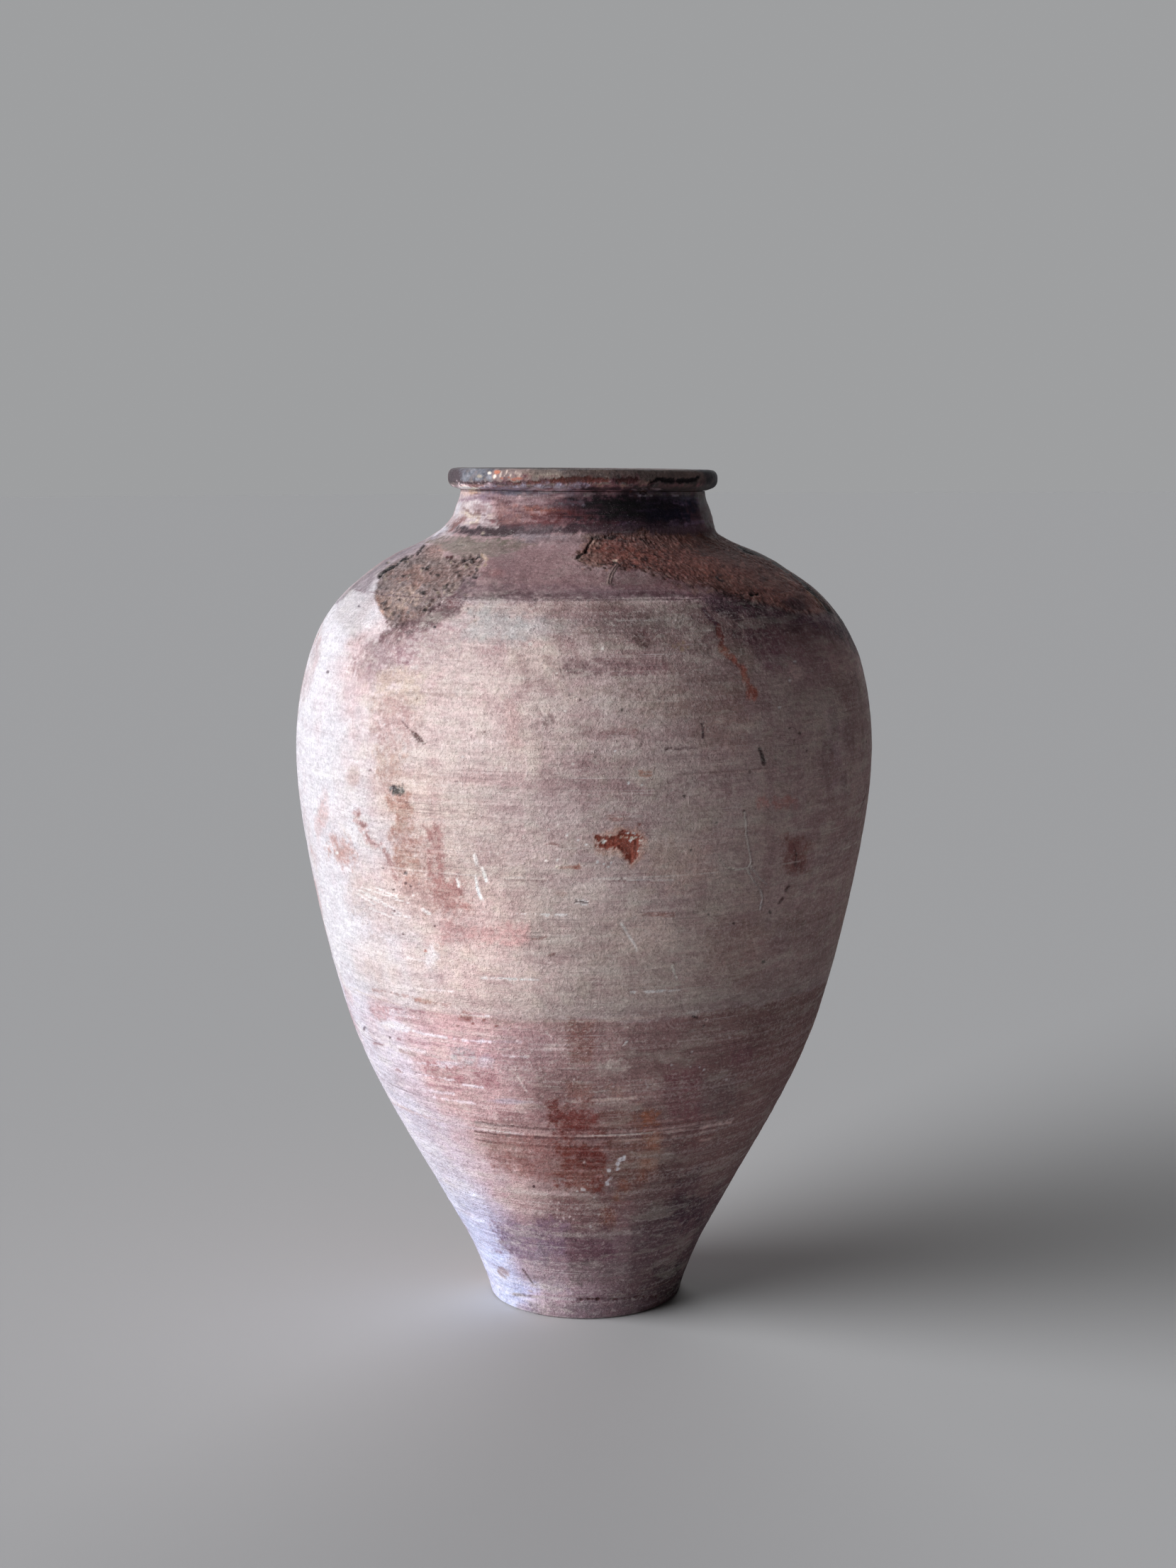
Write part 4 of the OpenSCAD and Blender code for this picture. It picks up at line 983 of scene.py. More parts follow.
patch([(872, 1178), (890, 1176), (900, 1184), (886, 1190), (872, 1188)], (0.44, 0.215, 0.165), 0.6, 3, 3, 1.5, vary=0.5)
stroke([(846, 1194), (858, 1194), (868, 1191), (878, 1199), (887, 1211)], 1.3, (0.36, 0.13, 0.09), 0.75, 0.8, 0.6)
for x_, y_, rx_, ry_, t_ in ((853, 1186.5, 4.6, 2.8, -10), (876, 1179, 1.8, 1.4, 0), (884, 1175, 3.5, 1.1, 0), (896, 1177, 3.0, 1.1, 18), (905, 1181, 1.6, 1.4, 0), (890, 1186, 1.4, 1.2, 0), (862, 1184, 1.4, 1, 0), (900, 1200, 1.3, 1.2, 0)):
    dab(x_, y_, rx_, ry_, (0.90, 0.82, 0.76), 0.95, t_, 0.35, 0.8, 0.6)
for k_ in range(16):
    x_ = 846 + 62 * rng.random()
    y_ = 1176 + 4 * abs(x_ - 880) / 30 + 7 * rng.random()
    dab(x_, y_, 1.0 + 1.5 * rng.random(), 0.9 + 0.7 * rng.random(), (0.80, 0.72, 0.68), 0.8, 0, 0.4, 0.8)
dab(871, 1154.5, 12, 4.0, (0.50, 0.37, 0.35), 0.6, 4, 0.6, 0.6)
dab(902, 1163, 3, 2.2, (0.42, 0.28, 0.26), 0.8)
dab(802, 1223.5, 14, 3.0, (0.50, 0.29, 0.245), 0.85, -2, 0.4, 0.5)
dab(786, 1223, 2.4, 2, (0.88, 0.82, 0.76), 0.9)
for x_, y_ in ((758, 1166), (787, 1163), (774, 1171), (816, 1186), (786, 1213), (770, 1214), (843, 1216), (852, 1219), (858, 1223), (862, 1217), (738, 1181), (827, 1192), (800, 1178)):
    dab(x_, y_, 1.4 + rng.random(), 1.2 + 0.8 * rng.random(), (0.90, 0.86, 0.85), 0.85)
stroke([(770, 1191), (780, 1190), (791, 1194)], 1.6, (0.48, 0.36, 0.35), 0.7, 1.0, 0.6)
for a_, b_ in (((713, 1239), (775, 1241)), ((852, 1240), (950, 1242))):
    stroke([a_, ((a_[0] + b_[0]) / 2, (a_[1] + b_[1]) / 2 + 0.7), b_], 1.2, (0.78, 0.72, 0.70), 0.7, 0.8, 0.4)
    stroke([(a_[0], a_[1] + 2.4), (b_[0], b_[1] + 2.6)], 1.2, (0.42, 0.33, 0.33), 0.6, 0.8, 0.4)
dab(877, 1239, 1.8, 1.8, (0.20, 0.14, 0.14), 0.9)
carve(stroke([(813, 1271), (821, 1272), (829, 1274.5)], 1.5, (0.10, 0.07, 0.07), 0.95, 0.7, 0.4), 0.6)
stroke([(813, 1268.6), (829, 1272)], 1.1, (0.88, 0.84, 0.82), 0.85, 0.7, 0.3)
stroke([(812, 1273.6), (829, 1277)], 1.1, (0.88, 0.84, 0.82), 0.85, 0.7, 0.3)
stroke([(876, 1302), (884, 1316), (893, 1329), (899, 1341)], 1.5, (0.82, 0.76, 0.72), 0.85, 0.8, 0.4)
stroke([(747, 1325), (760, 1325), (771, 1322)], 1.6, (0.50, 0.38, 0.36), 0.7, 1.0, 0.5)
stroke([(774, 1348), (782, 1346)], 1.6, (0.45, 0.33, 0.32), 0.7, 0.9, 0.5)
dab(792, 1261, 8, 3.5, (0.55, 0.42, 0.40), 0.6, 0, 0.6, 0.6)
for y_ in (1287.5, 1291.0):
    stroke([(907, y_), (928, y_ + 1.0), (951, y_ + 1.6)], 1.1, (0.40, 0.28, 0.26), 0.65, 0.8, 0.4)
patch([(735, 1120), (800, 1115), (830, 1140), (820, 1170), (760, 1175), (730, 1150)], (0.73, 0.67, 0.67), 0.35, 14, 12, vary=0.3)
patch([(905, 1190), (990, 1180), (1005, 1230), (960, 1265), (910, 1245)], (0.49, 0.41, 0.39), 0.4, 16, 12, vary=0.3)
patch([(760, 1235), (860, 1240), (870, 1300), (800, 1320), (750, 1290)], (0.70, 0.63, 0.625), 0.3, 16, 12, vary=0.3)
patch([(855, 1300), (935, 1295), (945, 1345), (880, 1365), (850, 1340)], (0.55, 0.475, 0.46), 0.35, 16, 12, vary=0.3)

# ---- middle, right
for pts in ([(1051, 1146), (1053, 1162), (1053, 1177), (1055, 1186), (1058, 1202), (1060, 1217)], [(1015, 1213), (1026, 1225), (1040, 1227), (1055, 1225), (1060, 1217)],
            [(1055, 1226), (1064, 1244), (1074, 1257), (1076, 1267), (1073, 1283)], [(1060, 1223), (1070, 1236), (1081, 1247)]):
    carve(stroke(pts, 1.0, (0.62, 0.53, 0.50), 0.85, 0.7, 0.5, 0.3), 0.2)
    stroke([(x_ + 1.8, y_ + 1.2) for x_, y_ in pts], 0.9, (0.20, 0.155, 0.155), 0.5, 0.7, 0.3)
patch([(1112, 1184), (1130, 1182), (1140, 1198), (1138, 1222), (1128, 1234), (1114, 1228), (1110, 1205)], (0.29, 0.20, 0.19), 0.85, 11, 5, 2, mid=2, vary=0.2)
dab(1127, 1221, 7, 7, (0.22, 0.14, 0.135), 0.6, 0, 0.7)
stroke([(1120, 1192), (1124, 1206), (1122, 1222)], 1.0, (0.12, 0.08, 0.08), 0.8, 0.7, 0.6)
for pts in ([(1114, 1250), (1109, 1257)], [(1105, 1267), (1100, 1275)]):
    stroke(pts, 1.6, (0.17, 0.12, 0.12), 0.85, 0.8, 0.4)
for x_, y_, r_ in ((1087, 1287, 2.2), (1078, 1357, 2.2), (1012, 1161, 1.9), (1051, 1144, 1.8), (1036, 1303, 2.0), (1000, 1290, 1.6), (1062, 1330, 1.6), (975, 1200, 1.5)):
    carve(dab(x_, y_, r_, r_ * 0.85, (0.10, 0.08, 0.08), 0.92), 0.4)
patch([(1072, 1125), (1088, 1126), (1086, 1140), (1073, 1139)], (0.40, 0.285, 0.275), 0.65, 4, 4, vary=0.3)
patch([(1092, 1123), (1124, 1126), (1124, 1141), (1094, 1140)], (0.37, 0.265, 0.255), 0.65, 5, 5, vary=0.3)
stroke([(948, 1363), (951, 1372), (955, 1381)], 1.2, (0.70, 0.62, 0.59), 0.8, 0.7, 0.4)
patch([(1000, 1310), (1060, 1300), (1090, 1340), (1060, 1390), (1000, 1380)], (0.345, 0.275, 0.265), 0.4, 18, 12, vary=0.3)

# ---- the colour step and below it, left
edge_ = [(690, 1444), (740, 1444.5), (790, 1444), (830, 1443), (865, 1441), (897, 1439.5), (930, 1437), (959, 1434), (985, 1430)]
stroke([(x_, y_ - 3) for x_, y_ in edge_], 2.0, (0.66, 0.60, 0.56), 0.35, 1.6, 0.8)
stroke([(526, 1396), (543, 1399), (560, 1402), (578, 1407), (595, 1411), (612, 1415), (635, 1418.5)], 1.5, (0.66, 0.52, 0.50), 0.5, 1.2, 1.4, 1.0)
stroke([(588, 1410), (606, 1413.5)], 2.2, (0.64, 0.45, 0.40), 0.6, 1.4, 1.4)
patch([(526, 1416), (545, 1420), (548, 1438), (532, 1442)], (0.82, 0.67, 0.675), 0.6, 5, 5, 2, vary=0.5)
dab(578, 1437, 18, 6, (0.78, 0.63, 0.63), 0.55, 12, 0.6, 0.6)
patch([(536, 1444), (547, 1440), (560, 1441), (571, 1448), (583, 1453), (574, 1456), (560, 1453.5), (547, 1450)], (0.96, 0.95, 0.97), 0.9, 1.2, 1.2)
stroke([(583, 1454), (600, 1459), (612, 1461), (629, 1464)], 1.8, (0.94, 0.92, 0.93), 0.8, 1.0, 0.5)
stroke([(653, 1468), (690, 1469.5), (735, 1470)], 1.6, (0.80, 0.75, 0.77), 0.7, 1.0, 0.5)
for pts in ([(528, 1472), (540, 1474)], [(564, 1482), (585, 1489)], [(559, 1509), (567, 1513)], [(600, 1487), (622, 1492)]):
    stroke(pts, 1.8, (0.62, 0.49, 0.50), 0.7, 1.2, 0.8)
dab(632, 1500, 18, 3.0, (0.86, 0.83, 0.86), 0.7, 6, 0.5)
patch([(635, 1479), (668, 1482), (668, 1502), (640, 1500)], (0.66, 0.64, 0.64), 0.6, 5, 5, 2, vary=0.6)
dab(684, 1496.6, 11, 10, (0.73, 0.665, 0.685), 0.75, 0, 0.35, 0.3)
dab(684, 1494, 5, 3, (0.80, 0.76, 0.78), 0.6)
patch([(604, 1502), (652, 1508), (654, 1527), (606, 1520)], (0.67, 0.48, 0.485), 0.6, 6, 6, 2, vary=0.4)
patch([(665, 1507), (698, 1510), (700, 1534), (668, 1532)], (0.59, 0.41, 0.42), 0.65, 6, 6, 2, vary=0.4)
dab(657, 1435, 8, 6, (0.52, 0.33, 0.30), 0.75, 0, 0.5, 0.7)
for x_, y_ in ((683, 1439), (667, 1444), (645, 1447), (700, 1448)):
    dab(x_, y_, 2.4, 1.8, (0.46, 0.28, 0.26), 0.8)
stroke([(653, 1530), (667, 1532.5), (681, 1534.5)], 1.4, (0.90, 0.87, 0.88), 0.8, 0.8, 0.4)
dab(514, 1451, 2.2, 5, (0.42, 0.38, 0.42), 0.7, 15)
dab(550, 1464, 1.8, 1.8, (0.36, 0.30, 0.32), 0.85)

for pts, w_ in (([(543, 1446), (560, 1447), (577, 1453)], 1.4), ([(640, 1466), (668, 1469), (700, 1470)], 1.3), ([(560, 1476), (600, 1484)], 1.1), ([(575, 1497), (612, 1503), (650, 1506)], 1.2),
                ([(590, 1515), (640, 1524)], 1.0), ([(560, 1529), (600, 1538), (640, 1543)], 1.2), ([(530, 1462), (548, 1466)], 1.2), ([(700, 1489), (745, 1491)], 1.0), ([(610, 1548), (670, 1557)], 1.2),
                ([(545, 1430), (590, 1436)], 1.0), ([(640, 1431), (690, 1434)], 0.9), ([(566, 1350), (600, 1356)], 0.9), ([(520, 1330), (560, 1338)], 1.0), ([(680, 1380), (760, 1382)], 0.9),
                ([(560, 1392), (640, 1399)], 1.0), ([(890, 1400), (960, 1397)], 0.9), ([(730, 1290), (800, 1291)], 0.9)):
    stroke(pts, w_, (0.95, 0.91, 0.92), 0.7, 0.9, 1.0, 0.7)
for pts, w_ in (([(560, 1466), (620, 1476)], 1.0), ([(640, 1487), (700, 1490)], 1.0), ([(580, 1508), (640, 1516)], 1.1), ([(600, 1530), (680, 1541)], 1.1), ([(540, 1421), (600, 1428)], 0.9)):
    stroke(pts, w_, (0.60, 0.44, 0.46), 0.55, 0.9, 1.0, 0.7)

# ---- lower body, middle
patch([(802, 1442), (834, 1442), (837, 1475), (832, 1502), (806, 1500), (800, 1470)], (0.42, 0.29, 0.265), 0.7, 6, 5, 2, vary=0.35)
patch([(700, 1448), (760, 1450), (790, 1470), (780, 1520), (720, 1540), (695, 1500)], (0.58, 0.47, 0.48), 0.45, 14, 10, vary=0.4)
for y_ in (1473.5, 1479.5):
    stroke([(747, y_), (775, y_ + 0.7), (803, y_ + 0.5)], 1.3, (0.74, 0.67, 0.66), 0.7, 0.8, 0.4)
patch([(841, 1496), (862, 1494), (880, 1496), (896, 1505), (884, 1512), (868, 1515), (850, 1516), (842, 1508)], (0.56, 0.51, 0.485), 0.75, 4, 4, 2, vary=0.4)
for x_, y_ in ((810, 1523), (802, 1532), (706, 1512), (864, 1533), (797, 1558), (947, 1503), (779, 1500), (822, 1547), (745, 1490)):
    dab(x_, y_, 2.0, 1.6, (0.80, 0.74, 0.71), 0.85)
for pts in ([(910, 1524), (914, 1534)], [(730, 1518), (736, 1530), (743, 1540)], [(879, 1475), (885, 1469)], [(770, 1456), (777, 1463)]):
    stroke(pts, 1.2, (0.76, 0.70, 0.68), 0.8, 0.7, 0.4)
patch([(800, 1528), (834, 1531), (834, 1549), (802, 1549)], (0.45, 0.275, 0.225), 0.75, 5, 5, 2, vary=0.4)
patch([(856, 1532), (878, 1533), (877, 1549), (858, 1549)], (0.42, 0.27, 0.22), 0.7, 4, 4, 2, vary=0.4)
patch([(880, 1440), (960, 1436), (975, 1470), (950, 1500), (890, 1498)], (0.385, 0.295, 0.29), 0.5, 14, 10, vary=0.4)
patch([(760, 1500), (860, 1515), (930, 1520), (935, 1560), (860, 1566), (760, 1560)], (0.44, 0.335, 0.325), 0.5, 12, 10, vary=0.4)
stroke([(807, 1554), (850, 1552), (897, 1549)], 1.6, (0.62, 0.53, 0.50), 0.75, 0.9, 0.5)
dab(722, 1554, 33, 3.2, (0.66, 0.62, 0.67), 0.6, 2, 0.5)
patch([(771, 1566), (806, 1569), (843, 1568), (842, 1588), (806, 1592), (772, 1588)], (0.355, 0.165, 0.145), 0.82, 5, 5, 2, vary=0.3)
patch([(700, 1566), (770, 1570), (772, 1592), (702, 1588)], (0.50, 0.37, 0.37), 0.6, 6, 6, 2, vary=0.4)
patch([(843, 1568), (905, 1566), (908, 1588), (846, 1592)], (0.36, 0.245, 0.22), 0.65, 6, 6, 2, vary=0.4)
patch([(904, 1560), (934, 1562), (938, 1600), (930, 1640), (908, 1660), (900, 1620)], (0.385, 0.25, 0.20), 0.6, 9, 8, 3, vary=0.4)
patch([(908, 1569), (931, 1568), (932, 1588), (910, 1590)], (0.41, 0.25, 0.185), 0.7, 4, 6, 3, vary=0.5)
patch([(908, 1599), (931, 1598), (930, 1612), (912, 1613)], (0.41, 0.25, 0.18), 0.75, 4, 4, 2, vary=0.4)
ring_ = [(540, 1551), (558, 1558.5), (595, 1574.5), (628, 1582.5), (670, 1592.5), (700, 1597), (740, 1600.5), (783, 1603), (843, 1603), (884, 1601.5), (924, 1598.5), (977, 1592.5), (1009, 1586), (1040, 1577)]
stroke(ring_[:7], 1.5, (0.80, 0.74, 0.74), 0.8, 0.9, 0.9, 0.6)
stroke(ring_[6:11], 1.3, (0.68, 0.58, 0.55), 0.75, 0.9, 1.0, 0.6)
stroke(ring_[10:], 1.1, (0.56, 0.48, 0.46), 0.6, 0.9, 1.1, 0.6)
for dy, w_, c_, a_ in ((-9.5, 1.6, (0.30, 0.19, 0.18), 0.7), (3.2, 1.5, (0.28, 0.17, 0.165), 0.75), (15.0, 1.6, (0.30, 0.19, 0.18), 0.7), (-5, 1.2, (0.56, 0.45, 0.43), 0.6), (8.0, 1.3, (0.58, 0.47, 0.44), 0.6), (19.5, 1.3, (0.56, 0.45, 0.42), 0.55), (-15, 1.2, (0.55, 0.44, 0.42), 0.5)):
    stroke([(x_, y_ + dy) for x_, y_ in ring_[4:-1]], w_, c_, a_, 0.9, 0.6, 0.3)

# ---- lower body, right
carve(stroke([(978, 1434), (984, 1436)], 1.5, (0.08, 0.06, 0.06), 0.95, 0.7, 0.3), 0.6)
dab(996, 1439, 3.4, 2.8, (0.52, 0.46, 0.44), 0.9)
carve(dab(996, 1439, 1.9, 1.5, (0.06, 0.05, 0.05), 1.0), 0.8)
dab(993, 1447, 1.6, 1.5, (0.10, 0.08, 0.08), 0.9)
for x_, y_ in ((1030, 1464), (976, 1484), (1025, 1523), (974, 1506), (980, 1509), (987, 1506), (993, 1509), (984, 1504)):
    dab(x_, y_, 1.7, 1.4, (0.66, 0.60, 0.56), 0.88)
patch([(938, 1508), (990, 1508), (995, 1540), (985, 1578), (942, 1578), (934, 1540)], (0.32, 0.21, 0.215), 0.75, 8, 8, 2, vary=0.4)
patch([(1033, 1476), (1058, 1476), (1060, 1504), (1034, 1505)], (0.30, 0.205, 0.215), 0.6, 7, 6, 2, vary=0.4)
stroke([(940, 1597), (985, 1592), (1031, 1584)], 1.4, (0.55, 0.47, 0.45), 0.7, 0.8, 0.4)
dab(968, 1615, 18, 4, (0.27, 0.155, 0.15), 0.75, -8, 0.5)
patch([(960, 1450), (1030, 1440), (1050, 1470), (1000, 1500), (960, 1495)], (0.345, 0.275, 0.265), 0.45, 12, 10, vary=0.3)
patch([(990, 1520), (1040, 1510), (1040, 1560), (1000, 1590), (985, 1560)], (0.265, 0.215, 0.215), 0.45, 10, 8, vary=0.3)

# ---- the long taper of the foot
patch([(685, 1600), (760, 1604), (800, 1606), (802, 1660), (740, 1662), (700, 1648)], (0.50, 0.35, 0.33), 0.7, 9, 8, 2, vary=0.4)
patch([(788, 1615), (822, 1612), (855, 1617), (857, 1650), (850, 1678), (815, 1680), (790, 1668)], (0.405, 0.205, 0.17), 0.85, 7, 7, 2.5, vary=0.4)
patch([(818, 1620), (850, 1622), (853, 1646), (842, 1657), (822, 1652)], (0.35, 0.145, 0.12), 0.85, 5, 5, 2)
patch([(776, 1560), (836, 1560), (842, 1598), (780, 1600)], (0.36, 0.165, 0.145), 0.7, 9, 8, 3, vary=0.3)
i_, m_, _ = area([(690, 1596), (780, 1560), (850, 1560), (862, 1600), (862, 1680), (800, 1684), (700, 1660)], 16, 12, 3)
fresh[i_] = np.maximum(fresh[i_], 0.55 * m_)
patch([(860, 1612), (910, 1606), (935, 1620), (930, 1660), (880, 1690), (860, 1660)], (0.355, 0.245, 0.215), 0.65, 10, 8, 2, vary=0.4)
patch([(930, 1600), (990, 1592), (985, 1640), (945, 1680), (930, 1650)], (0.275, 0.20, 0.195), 0.65, 10, 8, 2, vary=0.4)
patch([(785, 1690), (870, 1688), (900, 1700), (880, 1740), (800, 1742), (780, 1715)], (0.415, 0.305, 0.295), 0.6, 10, 8, 2, vary=0.4)
stroke([(700, 1679), (740, 1682), (800, 1684)], 4.0, (0.71, 0.63, 0.615), 0.65, 2.4, 1.5, vary=0.2)
for y_ in (1614, 1622, 1631, 1640, 1650, 1658):
    stroke([(690 + 0.4 * (y_ - 1600), y_ - 5), (745, y_), (800, y_ + 1.5), (850, y_ + 1.5)], 1.0, (0.62, 0.50, 0.48), 0.5, 0.8, 0.5, 0.3)
patch([(699, 1725), (750, 1723), (800, 1728), (802, 1778), (740, 1782), (708, 1765)], (0.515, 0.42, 0.465), 0.7, 9, 8, 2, vary=0.4)
patch([(799, 1742), (850, 1740), (874, 1744), (866, 1780), (805, 1782)], (0.37, 0.26, 0.275), 0.75, 9, 8, 2, vary=0.3)
patch([(799, 1780), (850, 1779), (886, 1782), (882, 1810), (805, 1811)], (0.42, 0.36, 0.34), 0.7, 6, 5, 2, vary=0.3)
patch([(900, 1700), (960, 1690), (965, 1715), (930, 1790), (890, 1790)], (0.26, 0.195, 0.195), 0.6, 10, 8, 2, vary=0.3)
patch([(960, 1660), (992, 1640), (975, 1700), (950, 1740), (940, 1715)], (0.225, 0.17, 0.18), 0.55, 8, 6, 2, vary=0.3)
patch([(950, 1690), (990, 1686), (988, 1716), (964, 1736), (948, 1722)], (0.19, 0.13, 0.15), 0.7, 7, 6, 2, vary=0.3)
for x_, y_, rx_, ry_, t_ in ((877, 1635, 5.5, 3.4, -30), (872, 1642, 4, 3, -20), (880, 1632, 2.4, 2, 0), (871, 1650, 3.2, 2.4, 0), (859, 1651.5, 2.6, 2, 0), (860, 1664, 5, 2.6, -35), (856, 1669, 2.6, 2, 0),
                             (822, 1678, 4.2, 2.2, 0), (815, 1681, 1.6, 1.3, 0)):
    dab(x_, y_, rx_, ry_, (0.80, 0.76, 0.73), 0.92, t_, 0.35, 0.6, 0.3)
for x_, y_ in ((777, 1695), (788, 1697), (786, 1707), (786, 1717), (790, 1723), (814, 1705), (845, 1714), (852, 1716), (795, 1719), (803, 1717), (809, 1720), (824, 1640), (838, 1690), (833, 1731), (762, 1712)):
    dab(x_, y_, 1.4 + 0.9 * rng.random(), 1.3 + 0.6 * rng.random(), (0.76, 0.70, 0.68), 0.85)
for x_, y_, rx_, ry_ in ((922, 1612, 11, 12), (913, 1641, 11, 9), (880, 1671, 8, 9), (869, 1690, 8, 8), (860, 1717, 10, 14), (905, 1660, 7, 7)):
    dab(x_, y_, rx_, ry_, (0.42, 0.265, 0.20), 0.65, 0, 0.6, 0.7, 0.3, vary=0.5)
stroke([(665, 1718), (673, 1721), (681, 1724)], 2.4, (0.94, 0.94, 0.98), 0.85, 1.2, 0.6)
dab(668, 1685.5, 6, 3, (0.92, 0.92, 0.96), 0.7, 15)
dab(700, 1773, 15, 6, (0.84, 0.86, 0.93), 0.7, 0, 0.6, 0.6, vary=0.3)
dab(736, 1818, 20, 11, (0.80, 0.82, 0.89), 0.7, 0, 0.6, 0.6, vary=0.3)
dab(710, 1796.5, 7, 7, (0.66, 0.56, 0.525), 0.75, 0, 0.5, 0.6)
stroke([(737, 1791), (744, 1800), (752, 1812)], 1.0, (0.34, 0.28, 0.28), 0.75, 0.7, 0.5)
patch([(755, 1752), (800, 1780), (800, 1825), (765, 1828), (745, 1800)], (0.56, 0.50, 0.51), 0.5, 9, 8, vary=0.3)
stroke([(724, 1826), (760, 1830.5), (810, 1833), (870, 1832.5), (915, 1829), (938, 1824)], 1.6, (0.30, 0.22, 0.22), 0.55, 1.0, 0.5)
stroke([(752, 1830), (780, 1832), (811, 1833.5)], 2.2, (0.74, 0.68, 0.64), 0.75, 1.0, 0.8)
for k_ in range(20):
    x_ = 818 + 116 * rng.random()
    carve(dab(x_, 1833.0 - ((x_ - 830) / 100) ** 2 * 5 + 2.5 * (rng.random() - 0.5), 2.0 + 2.4 * rng.random(), 1.4, (0.22, 0.12, 0.11), 0.8, 0, 0.4, 0.5), 0.3)
patch([(745, 1838), (800, 1838), (880, 1838), (930, 1830), (920, 1848), (860, 1862), (780, 1862), (740, 1852)], (0.40, 0.345, 0.33), 0.45, 6, 5, vary=0.4)
dab(737, 1845, 9, 5.5, (0.70, 0.60, 0.61), 0.65, 8, 0.5, 0.5)
dab(753, 1674, 2.0, 1.8, (0.25, 0.17, 0.17), 0.9)



# ---- the back and the far sides, out of the picture: the same clay, stains and wear
REAR = Canvas((deg % 360 - 180) * 4.4, -Zs, np.ones(n) * sstep(84, 108, np.abs(deg) + 6 * nC))
behind = sstep(88, 112, np.abs(deg) + 6 * nC)
wash(behind * sstep(846, 780, Zs) * sstep(-0.9, 0.9, nC + 0.4 * nB), "mauve", 0.55)
wash(behind * sstep(0.1, 1.2, nD + 0.4 * nC) * sstep(380, 420, Zs), "beige", 0.45)
wash(behind * sstep(0.0, 1.0, nV + 0.3 * nC) * sstep(420, 520, Zs), "maroon", 0.22)
wash(behind * sstep(0.1, 1.0, nH2 - 0.3 * nC) * sstep(330, 380, Zs), "chalk", 0.30)
wash(behind * low, "maroon", 0.35)
wash(behind * low * sstep(-0.2, 1.0, nH2 + 0.3 * nV), "umber", 0.35)


def rear(pts, colour, amount=0.8, soft=10.0, warp=8.0, fine=3.0, vary=0.4):
    return patch(pts, colour, amount, soft, warp, fine, vary, on=REAR)


# stain that crept down from the neck, with runs
rear([(-160, -840), (190, -842), (230, -800), (180, -776), (60, -768), (-40, -778), (-150, -790), (-190, -815)], "dusk", 0.85)
rear([(60, -838), (200, -836), (215, -812), (150, -800), (80, -806)], "purple", 0.75, 8, 8)
rear([(-120, -836), (20, -838), (10, -816), (-80, -808)], "umber", 0.6, 8, 8)
for x_, top, bot_, w_, c_ in ((-118, -792, -640, 4.0, "umber"), (-60, -786, -705, 5.5, "plum"), (14, -780, -560, 4.0, "maroon"), (86, -786, -690, 6.0, "purple"), (150, -790, -610, 3.6, "maroon"),
                              (206, -800, -700, 5.0, "maroon"), (-190, -800, -690, 5.0, "plum"), (262, -790, -640, 3.5, "umber")):
    pts = [(x_, top)]
    while pts[-1][1] < bot_:
        pts.append((pts[-1][0] + 5.5 * (rng.random() - 0.5), pts[-1][1] + 9 + 6 * rng.random()))
    stroke(pts, w_, c_, 0.42, 3.2, 3.2, 1.6, vary=0.7, on=REAR)
    stroke(pts[: len(pts) // 2], w_ * 0.7, c_, 0.35, 2.0, 2.0, 1.0, vary=0.6, on=REAR)
    dab(pts[-1][0], pts[-1][1], w_ * 1.1, w_ * 1.6, c_, 0.4, 0, 0.9, 0.6, on=REAR)
# broad pale and reddish areas
rear([(-250, -720), (-150, -735), (-90, -690), (-110, -600), (-190, -560), (-260, -620)], "chalk", 0.40, 26, 14)
rear([(60, -700), (180, -690), (220, -600), (160, -520), (70, -560)], "chalk", 0.35, 26, 14)
rear([(-60, -640), (40, -650), (60, -540), (0, -470), (-70, -520)], "rose", 0.40, 24, 14)
rear([(-320, -560), (-240, -560), (-220, -460), (-300, -420)], "rose", 0.40, 20, 12)
rear([(210, -540), (300, -560), (330, -440), (240, -410)], "maroon", 0.30, 20, 12)
rear([(-140, -440), (-20, -430), (10, -380), (-120, -372)], "beige", 0.45, 16, 10)
rear([(90, -330), (200, -320), (190, -250), (110, -240)], "rust", 0.35, 12, 10)
rear([(-180, -300), (-80, -310), (-60, -230), (-150, -220)], "brown", 0.35, 12, 10)
rear([(-60, -210), (60, -205), (50, -120), (-40, -110)], "purple", 0.35, 12, 8)
rear([(70, -150), (150, -120), (190, -60), (140, -20), (90, -60)], "lime", 0.34, 24, 22)
rear([(-210, -130), (-150, -90), (-110, -50), (-150, -20), (-200, -50)], "lime", 0.36, 24, 22)
# chips
for pts, depth in (([(64, -611), (76, -619), (96, -617), (113, -607), (101, -602), (92, -595), (84, -600), (72, -603)], 0.9), ([(-216, -462), (-204, -471), (-192, -469), (-187, -463), (-199, -459), (-207, -453)], 0.8),
                   ([(-30, -352), (-18, -358), (-8, -350), (-15, -341), (-27, -343)], 0.7), ([(146, -742), (166, -750), (180, -738), (170, -722), (150, -726)], 1.0)):
    patch(pts, "maroon", 0.65, 3.0, 1.6, 1.3, on=REAR)
    got = patch(pts, "rust", 0.5, 1.5, 1.4, 1.3, vary=0.6, on=REAR)
    i_, m_, d_ = got
    rough[i_] = np.maximum(rough[i_], 0.5 * m_)
    fresh[i_] = np.maximum(fresh[i_], 0.9 * m_)
    relief[i_] -= depth * m_ * (0.4 + 0.6 * sstep(0, 5, d_) + 0.2 * nF[i_])
    cx_, cy_ = np.mean(pts, 0)
    for k_ in range(4):
        dab(cx_ + 26 * (rng.random() - 0.5), cy_ + 20 * (rng.random() - 0.5), 1.3, 0.9, "chalk", 0.7, 0, 0.5, 0.5, on=REAR)
